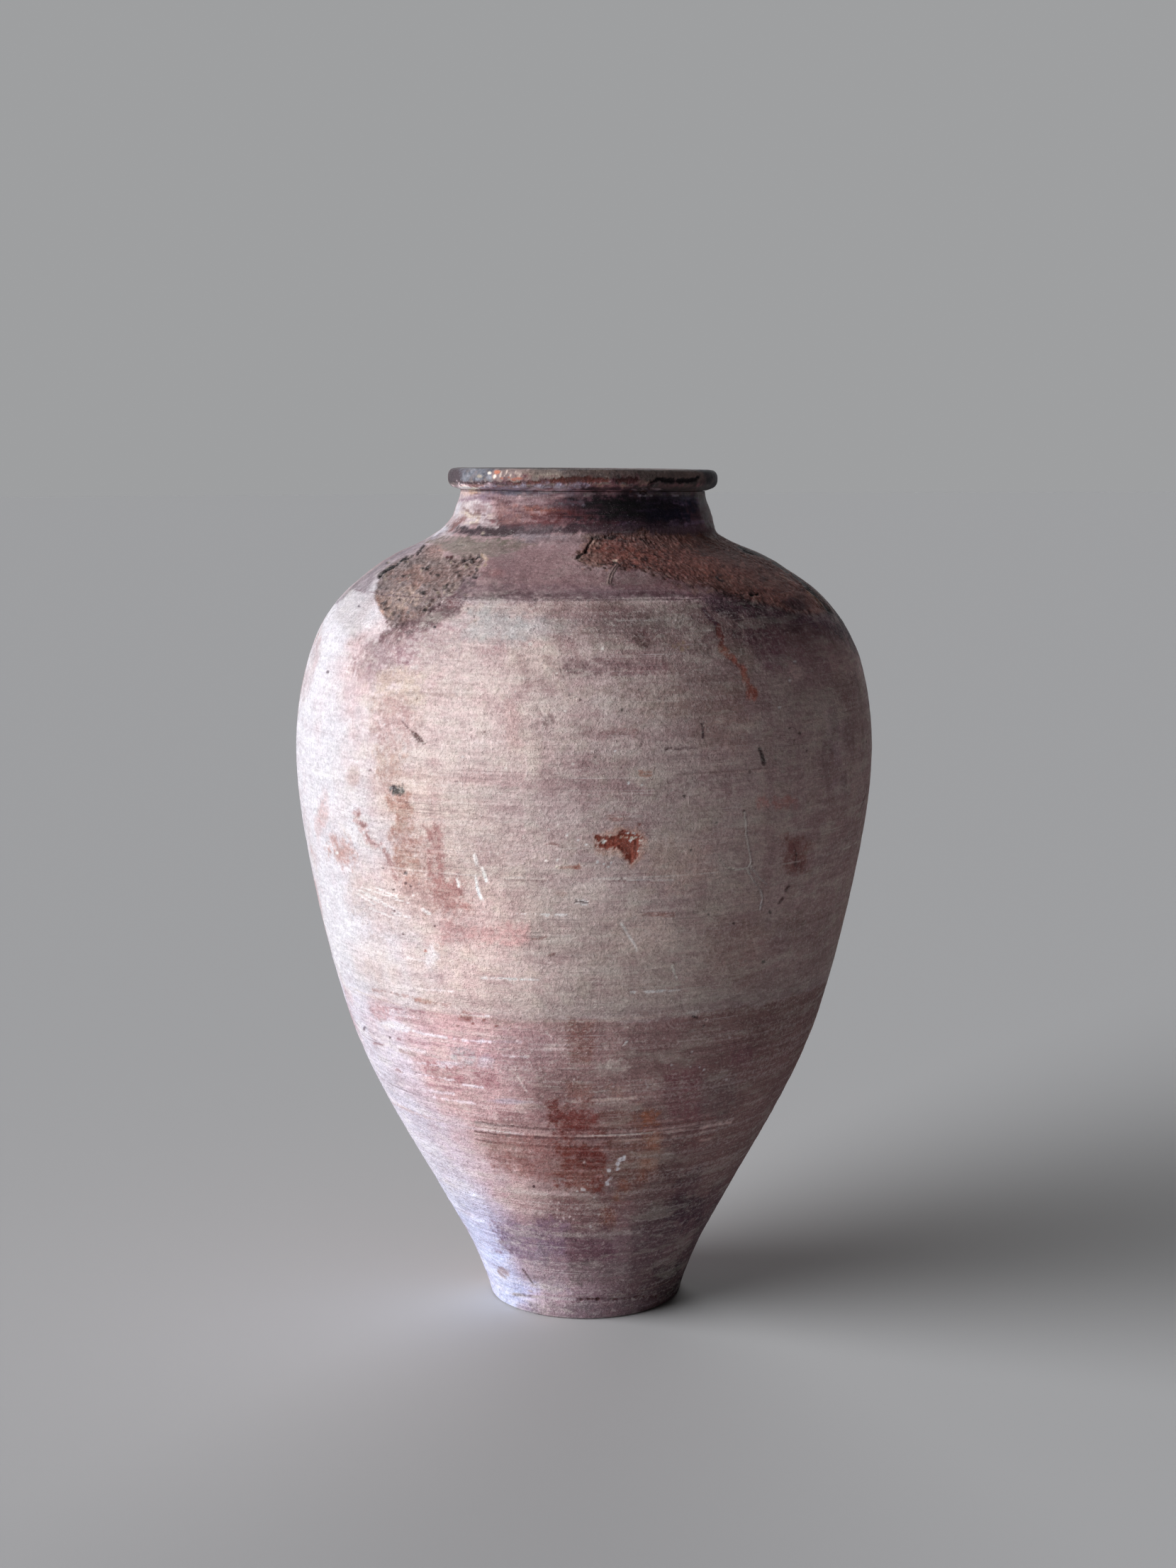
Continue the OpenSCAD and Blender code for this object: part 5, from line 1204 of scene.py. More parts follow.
# lines and scratches
for z_, c_, a_, w_ in ((246, "white", 0.55, 1.4), (241, "brown", 0.5, 1.2), (253, "chalk", 0.45, 1.2), (229, "brown", 0.5, 1.3), (221, "chalk", 0.4, 1.2), (268, "brown", 0.35, 1.2), (777.5, "chalk", 0.35, 1.0), (601, "mauve", 0.4, 2.0), (702, "mauve", 0.35, 2.4)):
    for x0_ in range(-420, 420, 60):
        if rng.random() < 0.82:
            dz = 1.5 * (rng.random() - 0.5)
            stroke([(x0_, -z_ + dz), (x0_ + 34, -z_ + dz + 0.6), (x0_ + 70, -z_ + dz)], w_, c_, a_ * (0.6 + 0.4 * rng.random()), 0.9, 0.9, 0.6, on=REAR)
for k_ in range(30):
    x_, y_, t_, l_ = 760 * (rng.random() - 0.5), -(110 + 640 * rng.random()), 360 * rng.random(), 5 + 14 * rng.random()
    dx_, dy_ = l_ * math.cos(math.radians(t_)), l_ * math.sin(math.radians(t_))
    c_ = ("white", "white", "brown", "plum")[k_ % 4]
    carve(stroke([(x_ - dx_, y_ - dy_), (x_ + 1.5 * (rng.random() - 0.5), y_), (x_ + dx_, y_ + dy_)], 0.9 + 0.5 * rng.random(), c_, 0.75, 0.8, 0.5, 0.3, on=REAR), 0.2)
for k_ in range(60):
    x_, y_ = 780 * (rng.random() - 0.5), -(60 + 700 * rng.random())
    r_ = 1.1 + 1.3 * rng.random()
    dab(x_, y_, r_, r_ * 0.85, ("soot", "white", "soot", "rust", "white")[k_ % 5], 0.8, 0, 0.5, 0.4, on=REAR)
# the side in shade: paler and darker clouds, a stain under the flaked patch, runs, streaks and specks
SHADE = Canvas((deg - 90) * 4.4, -Zs, np.ones(n) * sstep(62, 78, deg + 6 * nC) * sstep(152, 138, deg))


def shade(pts, colour, amount=0.8, soft=10.0, warp=8.0, fine=3.0, vary=0.4):
    return patch(pts, colour, amount, soft, warp, fine, vary, on=SHADE)


shade([(-120, -742), (-20, -752), (40, -730), (20, -700), (-60, -706), (-130, -700)], "soot", 0.45, 14, 14)
shade([(40, -806), (150, -800), (170, -770), (90, -760), (40, -776)], "plum", 0.6, 10, 10)
shade([(-60, -690), (60, -700), (90, -620), (30, -590), (-70, -600)], "chalk", 0.40, 26, 16)
shade([(90, -680), (190, -690), (200, -560), (120, -540)], "mauve", 0.45, 24, 14)
shade([(-40, -560), (70, -570), (60, -480), (-30, -470)], "rose", 0.35, 22, 14)
shade([(90, -480), (180, -490), (190, -400), (100, -390)], "pink", 0.45, 20, 12)
shade([(-90, -460), (0, -450), (10, -385), (-90, -380)], "beige", 0.40, 18, 12)
shade([(20, -340), (120, -345), (100, -280), (30, -270)], "brown", 0.40, 12, 12)
shade([(-90, -320), (-20, -330), (-20, -260), (-80, -250)], "rust", 0.35, 12, 10)
shade([(-50, -180), (40, -190), (50, -120), (-30, -110)], "chalk", 0.35, 12, 10)
shade([(40, -140), (90, -100), (130, -50), (90, -15), (50, -60)], "lime", 0.34, 24, 22)
for x_, top, bot_, w_, c_ in ((-30, -788, -650, 4.5, "plum"), (34, -792, -560, 3.6, "maroon"), (84, -790, -690, 5.5, "purple"), (-84, -720, -600, 4.0, "plum"), (138, -780, -610, 3.6, "maroon")):
    pts = [(x_, top)]
    while pts[-1][1] < bot_:
        pts.append((pts[-1][0] + 5.5 * (rng.random() - 0.5), pts[-1][1] + 9 + 6 * rng.random()))
    stroke(pts, w_, c_, 0.45, 3.2, 3.2, 1.6, vary=0.7, on=SHADE)
    dab(pts[-1][0], pts[-1][1], w_ * 1.1, w_ * 1.6, c_, 0.4, 0, 0.9, 0.6, on=SHADE)
for k_ in range(26):
    x_, y_, t_, l_ = 320 * (rng.random() - 0.5), -(110 + 640 * rng.random()), 360 * rng.random(), 5 + 13 * rng.random()
    dx_, dy_ = l_ * math.cos(math.radians(t_)), l_ * math.sin(math.radians(t_))
    c_ = ("chalk", "white", "soot", "plum")[k_ % 4]
    carve(stroke([(x_ - dx_, y_ - dy_), (x_ + 1.5 * (rng.random() - 0.5), y_), (x_ + dx_, y_ + dy_)], 0.9 + 0.5 * rng.random(), c_, 0.7, 0.8, 0.5, 0.3, on=SHADE), 0.2)
for k_ in range(46):
    x_, y_ = 330 * (rng.random() - 0.5), -(60 + 700 * rng.random())
    r_ = 1.1 + 1.5 * rng.random()
    dab(x_, y_, r_, r_ * 0.85, ("soot", "white", "rust", "chalk")[k_ % 4], 0.75, 0, 0.5, 0.4, on=SHADE)
# the side towards the window: chalk and lime over rose clay, broken up
LIT = Canvas((deg + 100) * 4.4, -Zs, np.ones(n) * sstep(-72, -98, deg + 9 * nC + 5 * nB) * sstep(-152, -138, deg))


def lit(pts, colour, amount=0.8, soft=10.0, warp=8.0, fine=3.0, vary=0.4):
    return patch(pts, colour, amount, soft, warp, fine, vary, on=LIT)


lit([(-20, -760), (90, -764), (110, -720), (30, -700), (-30, -715)], "mauve", 0.5, 16, 14)
lit([(-60, -690), (40, -680), (60, -600), (-20, -570), (-80, -610)], "rose", 0.45, 24, 16)
lit([(10, -640), (110, -650), (110, -560), (40, -530)], "beige", 0.5, 22, 14)
lit([(-30, -540), (60, -520), (50, -440), (-40, -430)], "pink", 0.6, 22, 14)
lit([(30, -450), (110, -470), (110, -390), (40, -372)], "mauve", 0.45, 18, 12)
lit([(-50, -360), (110, -362), (105, -310), (60, -270), (-40, -290)], "rose", 0.55, 12, 12)
lit([(-20, -280), (80, -290), (80, -220), (0, -200)], "brown", 0.35, 12, 12)
lit([(-40, -200), (60, -190), (60, -120), (-20, -100)], "mauve", 0.4, 12, 10)
lit([(20, -110), (90, -120), (90, -40), (30, -20)], "greige", 0.4, 10, 8)
for x_, top, bot_, w_, c_ in ((10, -790, -640, 4.0, "mauve"), (58, -780, -700, 5.0, "plum"), (-52, -784, -600, 3.4, "rose"), (88, -760, -650, 3.4, "umber")):
    pts = [(x_, top)]
    while pts[-1][1] < bot_:
        pts.append((pts[-1][0] + 5.5 * (rng.random() - 0.5), pts[-1][1] + 9 + 6 * rng.random()))
    stroke(pts, w_, c_, 0.4, 3.2, 3.2, 1.6, vary=0.7, on=LIT)
for k_ in range(24):
    x_, y_, t_, l_ = 260 * (rng.random() - 0.5), -(110 + 640 * rng.random()), 360 * rng.random(), 4 + 11 * rng.random()
    dx_, dy_ = l_ * math.cos(math.radians(t_)), l_ * math.sin(math.radians(t_))
    c_ = ("brown", "plum", "rust", "soot")[k_ % 4]
    carve(stroke([(x_ - dx_, y_ - dy_), (x_ + 1.5 * (rng.random() - 0.5), y_), (x_ + dx_, y_ + dy_)], 0.8 + 0.5 * rng.random(), c_, 0.65, 0.8, 0.5, 0.3, on=LIT), 0.2)
for k_ in range(44):
    x_, y_ = 260 * (rng.random() - 0.5), -(60 + 700 * rng.random())
    r_ = 1.0 + 1.4 * rng.random()
    dab(x_, y_, r_, r_ * 0.85, ("soot", "rust", "plum", "brown")[k_ % 4], 0.7, 0, 0.5, 0.4, on=LIT)
# the rim behind: blackened, with worn spots on its edge
wash(behind * rim * sstep(0.2, 1.0, nB + 0.5 * nA), "greige", 0.35)
wash(behind * rim * sstep(0.3, 1.0, nC - 0.6 * nB), "rust", 0.25)

# ---- last scalings: some broad places are a little deeper or paler; a few of them are painted shade, marked where they stand
def scale_tint_and_shade(mask, factor, where_=None):
    """Multiplies the clay's colour by a factor under a soft mask; in some places this is painted shade."""
    i_ = everywhere if where_ is None else where_
    f_ = 1 + mask[:, None] * (np.array(factor)[None] - 1)
    tint[i_] = coded(np.clip(linear(tint[i_]) * f_, 0.002, 0.93))


def deepen(pts, factor, soft=20.0, warp=10.0):
    i_, m_, _ = area(pts, soft, warp, 2.0)
    scale_tint_and_shade(m_, factor, i_)


deepen([(745, 848), (880, 850), (1000, 858), (1120, 872), (1190, 895), (1180, 915), (1060, 915), (900, 910), (790, 905)], (0.66, 0.61, 0.62), 26, 12)
deepen([(850, 920), (960, 915), (1060, 940), (1080, 985), (980, 985), (880, 965)], (0.84, 0.82, 0.82), 24, 12)
deepen([(690, 768), (840, 768), (830, 838), (700, 840), (650, 830)], (0.86, 0.80, 0.82), 16, 8)
deepen([(850, 750), (990, 752), (1050, 772), (1130, 812), (1185, 862), (1110, 866), (1000, 836), (900, 806), (850, 796)], (0.58, 0.47, 0.47), 12, 8)
# painted shadow: the dark band under the right flaked patch made darker still
deepen([(1000, 832), (1060, 846), (1130, 862), (1180, 878), (1190, 900), (1130, 892), (1060, 878), (1005, 866), (990, 850)], (0.62, 0.55, 0.60), 7, 7)
# painted shade, in part: this and the next line make the right side darker, as well as darker clay
scale_tint_and_shade(sstep(8, 42, deg + 6 * nC) * sstep(170, 130, deg) * sstep(330, 420, Zs) * sstep(845, 800, Zs), (0.93, 0.85, 0.87))
scale_tint_and_shade(sstep(15, 60, deg + 6 * nC) * sstep(170, 130, deg) * sstep(380, 300, Zs), (0.95, 0.88, 0.90))
deepen([(860, 790), (1000, 822), (1120, 850), (1190, 870), (1150, 850), (1010, 846), (870, 842)], (0.62, 0.54, 0.56), 10, 8)
deepen([(985, 742), (1040, 760), (1130, 800), (1180, 845), (1150, 835), (1060, 790), (980, 768)], (0.66, 0.60, 0.62), 10, 8)
# painted shade: a band along the jar's right edge made darker, against the light from the lamp behind
deepen([(1170, 840), (1225, 900), (1235, 1100), (1210, 1300), (1130, 1480), (1000, 1680), (960, 1800), (935, 1870), (985, 1870), (1040, 1720), (1180, 1500), (1270, 1250), (1270, 1000)], (0.76, 0.73, 0.76), 22, 10)
deepen([(860, 1650), (960, 1640), (985, 1700), (960, 1800), (925, 1870), (860, 1870), (840, 1780)], (0.84, 0.82, 0.83), 22, 10)
deepen([(740, 1600), (860, 1600), (860, 1790), (770, 1800)], (0.76, 0.69, 0.70), 26, 12)
deepen([(745, 1815), (860, 1818), (940, 1812), (925, 1870), (790, 1870)], (0.84, 0.84, 0.88), 12, 6)
deepen([(700, 1815), (760, 1822), (745, 1865), (700, 1860)], (1.02, 1.05, 1.08), 12, 6)
deepen([(520, 950), (640, 930), (740, 960), (740, 1080), (560, 1080), (520, 1010)], (1.08, 1.09, 1.09), 34, 14)
deepen([(560, 1240), (730, 1240), (740, 1450), (690, 1520), (560, 1400), (500, 1300)], (1.10, 1.09, 1.10), 34, 14)
deepen([(560, 1440), (700, 1450), (720, 1560), (640, 1640), (570, 1560)], (1.08, 1.06, 1.10), 30, 14)
deepen([(640, 1620), (700, 1640), (720, 1800), (680, 1790)], (1.15, 1.18, 1.22), 24, 10)
deepen([(780, 700), (860, 702), (940, 706), (1000, 712), (1000, 742), (900, 738), (820, 734), (770, 728)], (0.62, 0.52, 0.56), 9, 6)
deepen([(850, 850), (960, 856), (1040, 872), (1060, 930), (960, 940), (860, 925), (840, 890)], (0.80, 0.77, 0.76), 20, 12)
deepen([(800, 1060), (960, 1050), (980, 1150), (900, 1180), (810, 1150)], (0.88, 0.87, 0.87), 26, 12)
deepen([(930, 940), (1040, 935), (1060, 1040), (980, 1060), (930, 1010)], (0.86, 0.84, 0.83), 20, 12)
deepen([(1090, 1300), (1190, 1290), (1150, 1460), (1060, 1500), (1060, 1400)], (0.84, 0.82, 0.82), 20, 12)
# painted shade: the lower right edge of the foot, down to the floor, made darker
deepen([(985, 1680), (1060, 1660), (1000, 1800), (960, 1870), (930, 1866), (960, 1780)], (0.78, 0.76, 0.80), 10, 6)
deepen([(660, 1270), (745, 1270), (752, 1440), (690, 1460), (650, 1380)], (1.14, 1.15, 1.14), 26, 12)
deepen([(690, 1450), (745, 1460), (752, 1590), (700, 1580)], (1.14, 1.15, 1.14), 22, 12)
deepen([(735, 1815), (800, 1820), (800, 1862), (750, 1862)], (1.28, 1.28, 1.30), 12, 6)
scale_tint_and_shade(sstep(-84, -66, deg + 4 * nC) * sstep(4, -22, deg + 6 * nC) * sstep(90, 170, Zs) * sstep(782, 750, Zs), (1.105, 1.095, 1.08))
deepen([(800, 698), (960, 698), (965, 738), (805, 738)], (0.74, 0.70, 0.76), 10, 6)
deepen([(860, 658), (1000, 658), (1000, 684), (865, 684)], (0.80, 0.76, 0.78), 6, 4)
deepen([(690, 842), (790, 842), (790, 884), (700, 880)], (0.90, 0.89, 0.89), 14, 8)
# painted shadow: the foot's lower right corner by the floor made darker, in this and the next line
deepen([(895, 1800), (985, 1780), (975, 1870), (900, 1870)], (0.84, 0.82, 0.84), 10, 6)
deepen([(940, 1810), (985, 1780), (975, 1870), (940, 1870)], (0.66, 0.66, 0.66), 8, 5)
deepen([(822, 775), (860, 755), (1000, 758), (1140, 830), (1160, 862), (1060, 845), (900, 802), (825, 796)], (0.93, 0.91, 0.94), 6, 5)
deepen([(840, 846), (1010, 856), (1090, 874), (1080, 892), (960, 884), (840, 872)], (0.82, 0.79, 0.79), 14, 8)
deepen([(700, 844), (850, 846), (850, 862), (705, 858)], (0.90, 0.87, 0.87), 9, 7)
deepen([(850, 704), (930, 704), (930, 734), (855, 734)], (0.70, 0.68, 0.80), 9, 6)
# painted shadow: the foot's lower right corner by the floor made darker still
deepen([(958, 1815), (985, 1780), (975, 1870), (950, 1870)], (0.62, 0.62, 0.64), 6, 4)
deepen([(760, 1460), (880, 1450), (880, 1500), (770, 1500)], (1.12, 1.12, 1.12), 16, 8)
deepen([(880, 1270), (950, 1265), (950, 1330), (885, 1330)], (1.12, 1.12, 1.12), 16, 8)
deepen([(636, 656), (700, 656), (706, 684), (640, 684)], (1.30, 1.26, 1.26), 8, 4)
deepen([(690, 656), (752, 656), (752, 684), (695, 684)], (1.16, 1.14, 1.14), 8, 4)
deepen([(600, 770), (690, 768), (700, 812), (600, 820)], (1.20, 1.20, 1.18), 14, 8)
deepen([(1150, 890), (1215, 900), (1225, 950), (1170, 950)], (1.25, 1.20, 1.22), 10, 6)
deepen([(650, 658), (748, 658), (752, 682), (655, 684)], (1.26, 1.22, 1.22), 8, 4)
deepen([(715, 700), (768, 702), (772, 738), (722, 738)], (1.25, 1.38, 1.36), 9, 6)
deepen([(850, 698), (905, 700), (905, 730), (850, 728)], (0.72, 0.66, 0.70), 9, 6)
deepen([(962, 700), (1000, 704), (1000, 740), (968, 738)], (1.20, 1.30, 1.30), 8, 6)
deepen([(730, 768), (860, 770), (850, 830), (740, 830)], (1.18, 1.20, 1.18), 16, 8)
deepen([(850, 762), (960, 766), (1010, 790), (1000, 822), (900, 806), (855, 796)], (1.30, 1.20, 1.18), 12, 8)
deepen([(700, 1590), (760, 1590), (780, 1700), (730, 1700)], (1.20, 1.24, 1.24), 14, 8)
deepen([(770, 1660), (830, 1660), (830, 1740), (780, 1740)], (1.16, 1.18, 1.18), 14, 8)
deepen([(740, 1760), (800, 1770), (800, 1864), (755, 1860)], (1.16, 1.18, 1.14), 12, 6)
deepen([(905, 1660), (1010, 1650), (990, 1740), (920, 1750)], (0.84, 0.82, 0.84), 12, 8)
# painted shadow: the foot's lower right corner by the floor made darker still
deepen([(925, 1790), (985, 1780), (975, 1870), (930, 1870)], (0.60, 0.60, 0.62), 9, 6)
deepen([(980, 1370), (1060, 1365), (1050, 1430), (985, 1430)], (0.90, 0.86, 0.88), 16, 10)
deepen([(795, 658), (1012, 658), (1012, 682), (795, 680)], (0.55, 0.52, 0.55), 8, 4)
# the lowest part a little more mauve
scale_tint_and_shade(sstep(400, 340, Zs), (0.98, 0.965, 1.03))
scale_tint_and_shade(sstep(-70, -98, deg + 6 * nC) * sstep(-158, -118, deg + 8 * nC), (0.74, 0.70, 0.69))
scale_tint_and_shade(sstep(-108, -140, deg + 5 * nC), (0.92, 0.88, 0.88))
scale_tint_and_shade(sstep(160, 90, Zs + 6 * nC), (0.93, 0.98, 1.10))

# ---------------------------------------------------------------- visual pieces
seam_tone = {"foot": ("tan", 0.4), "lower": ("chalk", 0.7), "waist": ("beige", 0.3), "belly": ("chalk", 0.5),
             "upper": ("mauve", 0.0), "shoulder": ("plum", 0.35), "neck": ("plum", 0.12), "rim": ("soot", 0.2)}
for key, (colour, amount) in seam_tone.items():
    mine = WHO[S] == names.index("slip_ring_" + key)
    breaks = sstep(-0.5, 0.5, nC + 0.6 * nB)
    wash(mine * breaks, colour, amount)
    relief[mine] -= (0.12 if key in ("foot", "lower", "shoulder") else 0.03) * breaks[mine]

# ---------------------------------------------------------------- broad relief of the thrown wall
relief += 0.35 * fbm(Ps, 260, 31, 2) + 0.16 * vnoise(Ps[:, 0] / 900, Ps[:, 1] / 900, Zs / 11, 33)
relief += 0.10 * vnoise(Ps[:, 0] / 500, Ps[:, 1] / 500, Zs / 4.5, 34) * (0.4 + sstep(300, 180, Zs))
relief += 0.07 * nA + 0.05 * nF + 0.10 * nB
relief -= 0.9 * sstep(520, 600, Zs) * sstep(720, 640, Zs)         # room inside the solids' box for the belly
relief -= 0.5


COL = np.ones((len(P0), 4), np.float32)
MSK = np.zeros((len(P0), 4), np.float32)
inn = KIND == IN
bot = KIND == UNDER
base_in = C["umber"] * 1.12
nI = fbm(P0[~(KIND == OUT)], 30, 51, 3, stretch=(3, 3, 1))
other = np.where(KIND != OUT)[0]
lip = sstep(838, 888, P0[other, 2] + 6 * nI)[:, None] * (KIND[other] == IN)[:, None]
deepin = sstep(520, 60, P0[other, 2])[:, None]
own_in = base_in[None] * (1 + 0.10 * nI[:, None])
own_in = own_in * (1 - 0.35 * deepin) + C["greige"][None] * 0.35 * deepin
own_in = own_in * (1 - 0.7 * lip) + C["iron"][None] * 0.7 * lip
COL[other, :3] = linear(own_in)
COL[np.where(bot)[0], :3] = linear(C["tan"][None] * (0.95 + 0.08 * fbm(P0[bot], 18, 53, 3)[:, None]))
COL[S, :3] = linear(tint)
MSK[S, 0] = rough
MSK[S, 1] = fresh
MSK[S, 2] = drawn
MSK[other, 1] = 0.6

D = np.zeros(len(P0))
D[S] = relief * WGT[S]
D[inn] = 0.5 * vnoise(P0[inn, 0] / 400, P0[inn, 1] / 400, P0[inn, 2] / 9, 61)
RAD = np.hypot(P0[:, 0], P0[:, 1])
NIN = np.zeros_like(P0)
NIN[:, 0] = -P0[:, 0] / np.maximum(RAD, 1)
NIN[:, 1] = -P0[:, 1] / np.maximum(RAD, 1)
D[inn & (P0[:, 2] > H - 44)] *= 0.3
D[inn & (P0[:, 2] < 36)] = 0
PD = P0 + NRM * (D * (KIND == OUT))[:, None] + NIN * (D * inn)[:, None]
PD = bend(PD)
# the resting face and the top of the rim stay flat
PD[:, 2] = np.clip(PD[:, 2], 0.0, H)
lim = 307.9
rr = np.hypot(PD[:, 0], PD[:, 1])
k = np.minimum(1, lim / np.maximum(rr, 1))
PD[:, 0] *= k
PD[:, 1] *= k


# ---------------------------------------------------------------- materials
def clay_material(name, bloom=1.0, lines=1.0, grit=1.0, rough_base=0.88, spec=0.28, bump=1.0):
    m = bpy.data.materials.new(name)
    m.use_nodes = True
    nt = m.node_tree
    nt.nodes.clear()
    nodes, links = nt.nodes, nt.links

    def node(kind, **props):
        q = nodes.new(kind)
        for key, val in props.items():
            setattr(q, key, val)
        return q

    def put(socket, value):
        if isinstance(value, bpy.types.NodeSocket):
            links.new(value, socket)
        else:
            socket.default_value = value

    def maths(op, a_, b_=None, c_=None, clamp=False):
        q = node("ShaderNodeMath", operation=op, use_clamp=clamp)
        put(q.inputs[0], a_)
        if b_ is not None:
            put(q.inputs[1], b_)
        if c_ is not None:
            put(q.inputs[2], c_)
        return q.outputs[0]

    def noise(scale, detail=3.0, rough_=0.55, stretch=(1, 1, 1), lac=2.0, shift=(0, 0, 0)):
        mp = node("ShaderNodeMapping")
        mp.inputs["Scale"].default_value = stretch
        mp.inputs["Location"].default_value = shift
        links.new(coord, mp.inputs["Vector"])
        q = node("ShaderNodeTexNoise")
        q.inputs["Scale"].default_value = scale
        q.inputs["Detail"].default_value = detail
        q.inputs["Roughness"].default_value = rough_
        q.inputs["Lacunarity"].default_value = lac
        links.new(mp.outputs[0], q.inputs["Vector"])
        return q.outputs["Fac"]

    def band(value, lo, hi, a_=0.0, b_=1.0):
        q = node("ShaderNodeMapRange", interpolation_type="SMOOTHSTEP")
        put(q.inputs["Value"], value)
        q.inputs["From Min"].default_value = lo
        q.inputs["From Max"].default_value = hi
        q.inputs["To Min"].default_value = a_
        q.inputs["To Max"].default_value = b_
        return q.outputs["Result"]

    def mix(fac, a_, b_, mode="MIX"):
        q = node("ShaderNodeMix", data_type="RGBA", blend_type=mode)
        put(q.inputs[0], fac)
        put(q.inputs[6], a_)
        put(q.inputs[7], b_)
        return q.outputs[2]

    coord = node("ShaderNodeTexCoord").outputs["Object"]
    tint_a = node("ShaderNodeAttribute", attribute_name="tint").outputs["Color"]
    mask = node("ShaderNodeAttribute", attribute_name="wear").outputs["Color"]
    sep = node("ShaderNodeSeparateColor")
    links.new(mask, sep.inputs[0])
    broken, bare, drawn_ = sep.outputs[0], sep.outputs[1], sep.outputs[2]
    keep = maths("SUBTRACT", 1.0, bare, clamp=True)

    fine_lines = noise(1.0, 3, 0.6, stretch=(7, 7, 620))
    mid_lines = noise(1.0, 3, 0.6, stretch=(4, 4, 190), shift=(3, 1, 5))
    where = noise(14, 3, 0.6)
    grain = noise(900, 2, 0.6)
    grain2 = noise(330, 3, 0.65)
    grain3 = noise(190, 3, 0.6, stretch=(0.45, 0.45, 1.3), shift=(4, 2, 8))
    skin = noise(300, 2, 0.5, stretch=(0.8, 0.8, 1.1), shift=(7, 3, 2))
    skin2 = noise(120, 3, 0.6, stretch=(0.7, 0.7, 1.1), shift=(1, 8, 3))
    thin = noise(1.0, 2, 0.5, stretch=(5, 5, 900), shift=(8, 1, 6))
    blush = noise(52, 4, 0.7, stretch=(0.35, 0.35, 1.25), shift=(6, 6, 2))
    cloud = noise(38, 4, 0.65, stretch=(0.5, 0.5, 1.1), shift=(2, 7, 1))

    # colour: brush lines, then bloom, then grit
    col = tint_a
    shade = maths("MULTIPLY_ADD", maths("SUBTRACT", fine_lines, 0.5), 0.62 * lines, 1.0)
    shade = maths("MULTIPLY", shade, maths("MULTIPLY_ADD", maths("SUBTRACT", mid_lines, 0.5), 0.55 * lines, 1.0))
    drag = maths("MULTIPLY", maths("MULTIPLY", keep, drawn_), band(where, 0.3, 0.7, 0.5, 1.3))
    shade = maths("ADD", 1.0, maths("MULTIPLY", maths("SUBTRACT", shade, 1.0), drag))
    shade = maths("MULTIPLY", shade, maths("MULTIPLY_ADD", maths("SUBTRACT", grain2, 0.5), 0.95 * grit, 1.0))
    shade = maths("MULTIPLY", shade, maths("MULTIPLY_ADD", maths("SUBTRACT", grain3, 0.5), 0.70 * grit, 1.0))
    shade = maths("MULTIPLY", shade, maths("MULTIPLY_ADD", maths("SUBTRACT", cloud, 0.5), 0.40, 1.0))
    comb = node("ShaderNodeCombineColor")
    for s_ in comb.inputs[:3]:
        links.new(shade, s_)
    col = mix(1.0, col, comb.outputs[0], "MULTIPLY")
    col = mix(maths("MULTIPLY", maths("MULTIPLY", band(blush, 0.49, 0.64), keep), 0.34 * bloom), col, mix(0.5, col, (0.26, 0.11, 0.13, 1)))
    col = mix(maths("MULTIPLY", maths("MULTIPLY", band(blush, 0.49, 0.36), keep), 0.50 * bloom), col, mix(0.38, col, (0.78, 0.72, 0.62, 1)))
    fleck = noise(240, 4, 0.7, stretch=(0.5, 0.5, 1.15), shift=(9, 4, 4))
    col = mix(maths("MULTIPLY", maths("MULTIPLY", band(fleck, 0.54, 0.63), keep), 0.38 * bloom), col, mix(0.5, col, (0.18, 0.09, 0.09, 1)))
    col = mix(maths("MULTIPLY", maths("MULTIPLY", band(fleck, 0.44, 0.36), keep), 0.45 * bloom), col, mix(0.4, col, (0.84, 0.78, 0.70, 1)))
    tick = maths("MULTIPLY", maths("MULTIPLY", band(thin, 0.60, 0.70), band(where, 0.40, 0.62)), maths("MULTIPLY", keep, maths("MULTIPLY_ADD", drawn_, 0.6, 0.35)))
    col = mix(maths("MULTIPLY", tick, 0.65), col, mix(0.6, col, (0.14, 0.07, 0.08, 1)))
    tock = maths("MULTIPLY", maths("MULTIPLY", band(thin, 0.37, 0.29), band(where, 0.60, 0.40)), maths("MULTIPLY", keep, maths("MULTIPLY_ADD", drawn_, 0.85, 0.05)))
    col = mix(maths("MULTIPLY", tock, 0.80), col, mix(0.5, col, (0.85, 0.80, 0.78, 1)))
    dust = maths("MULTIPLY", band(maths("ADD", grain2, maths("MULTIPLY", maths("SUBTRACT", mid_lines, 0.5), maths("MULTIPLY", drawn_, 0.9))), 0.52, 0.72), 0.30 * bloom)
    col = mix(maths("MULTIPLY", dust, keep), col, (0.66, 0.58, 0.56, 1))
    white = maths("MULTIPLY", band(grain, 0.665, 0.72), 0.55 * grit)
    col = mix(maths("MULTIPLY", white, maths("MULTIPLY_ADD", keep, 0.7, 0.3)), col, (0.80, 0.77, 0.74, 1))
    dark = maths("MULTIPLY", band(noise(700, 2, 0.6, shift=(5, 5, 5)), 0.67, 0.72), 0.5 * grit)
    col = mix(dark, col, (0.05, 0.035, 0.03, 1))
    lumps = noise(290, 4, 0.7, stretch=(0.8, 0.8, 1.2), shift=(1, 9, 4))
    col = mix(maths("MULTIPLY", broken, band(lumps, 0.34, 0.52, 0.5, 0.0)), col, mix(0.8, col, (0.02, 0.014, 0.014, 1)))
    col = mix(maths("MULTIPLY", broken, band(lumps, 0.52, 0.68, 0.0, 0.55)), col, mix(0.5, col, (0.70, 0.62, 0.60, 1)))

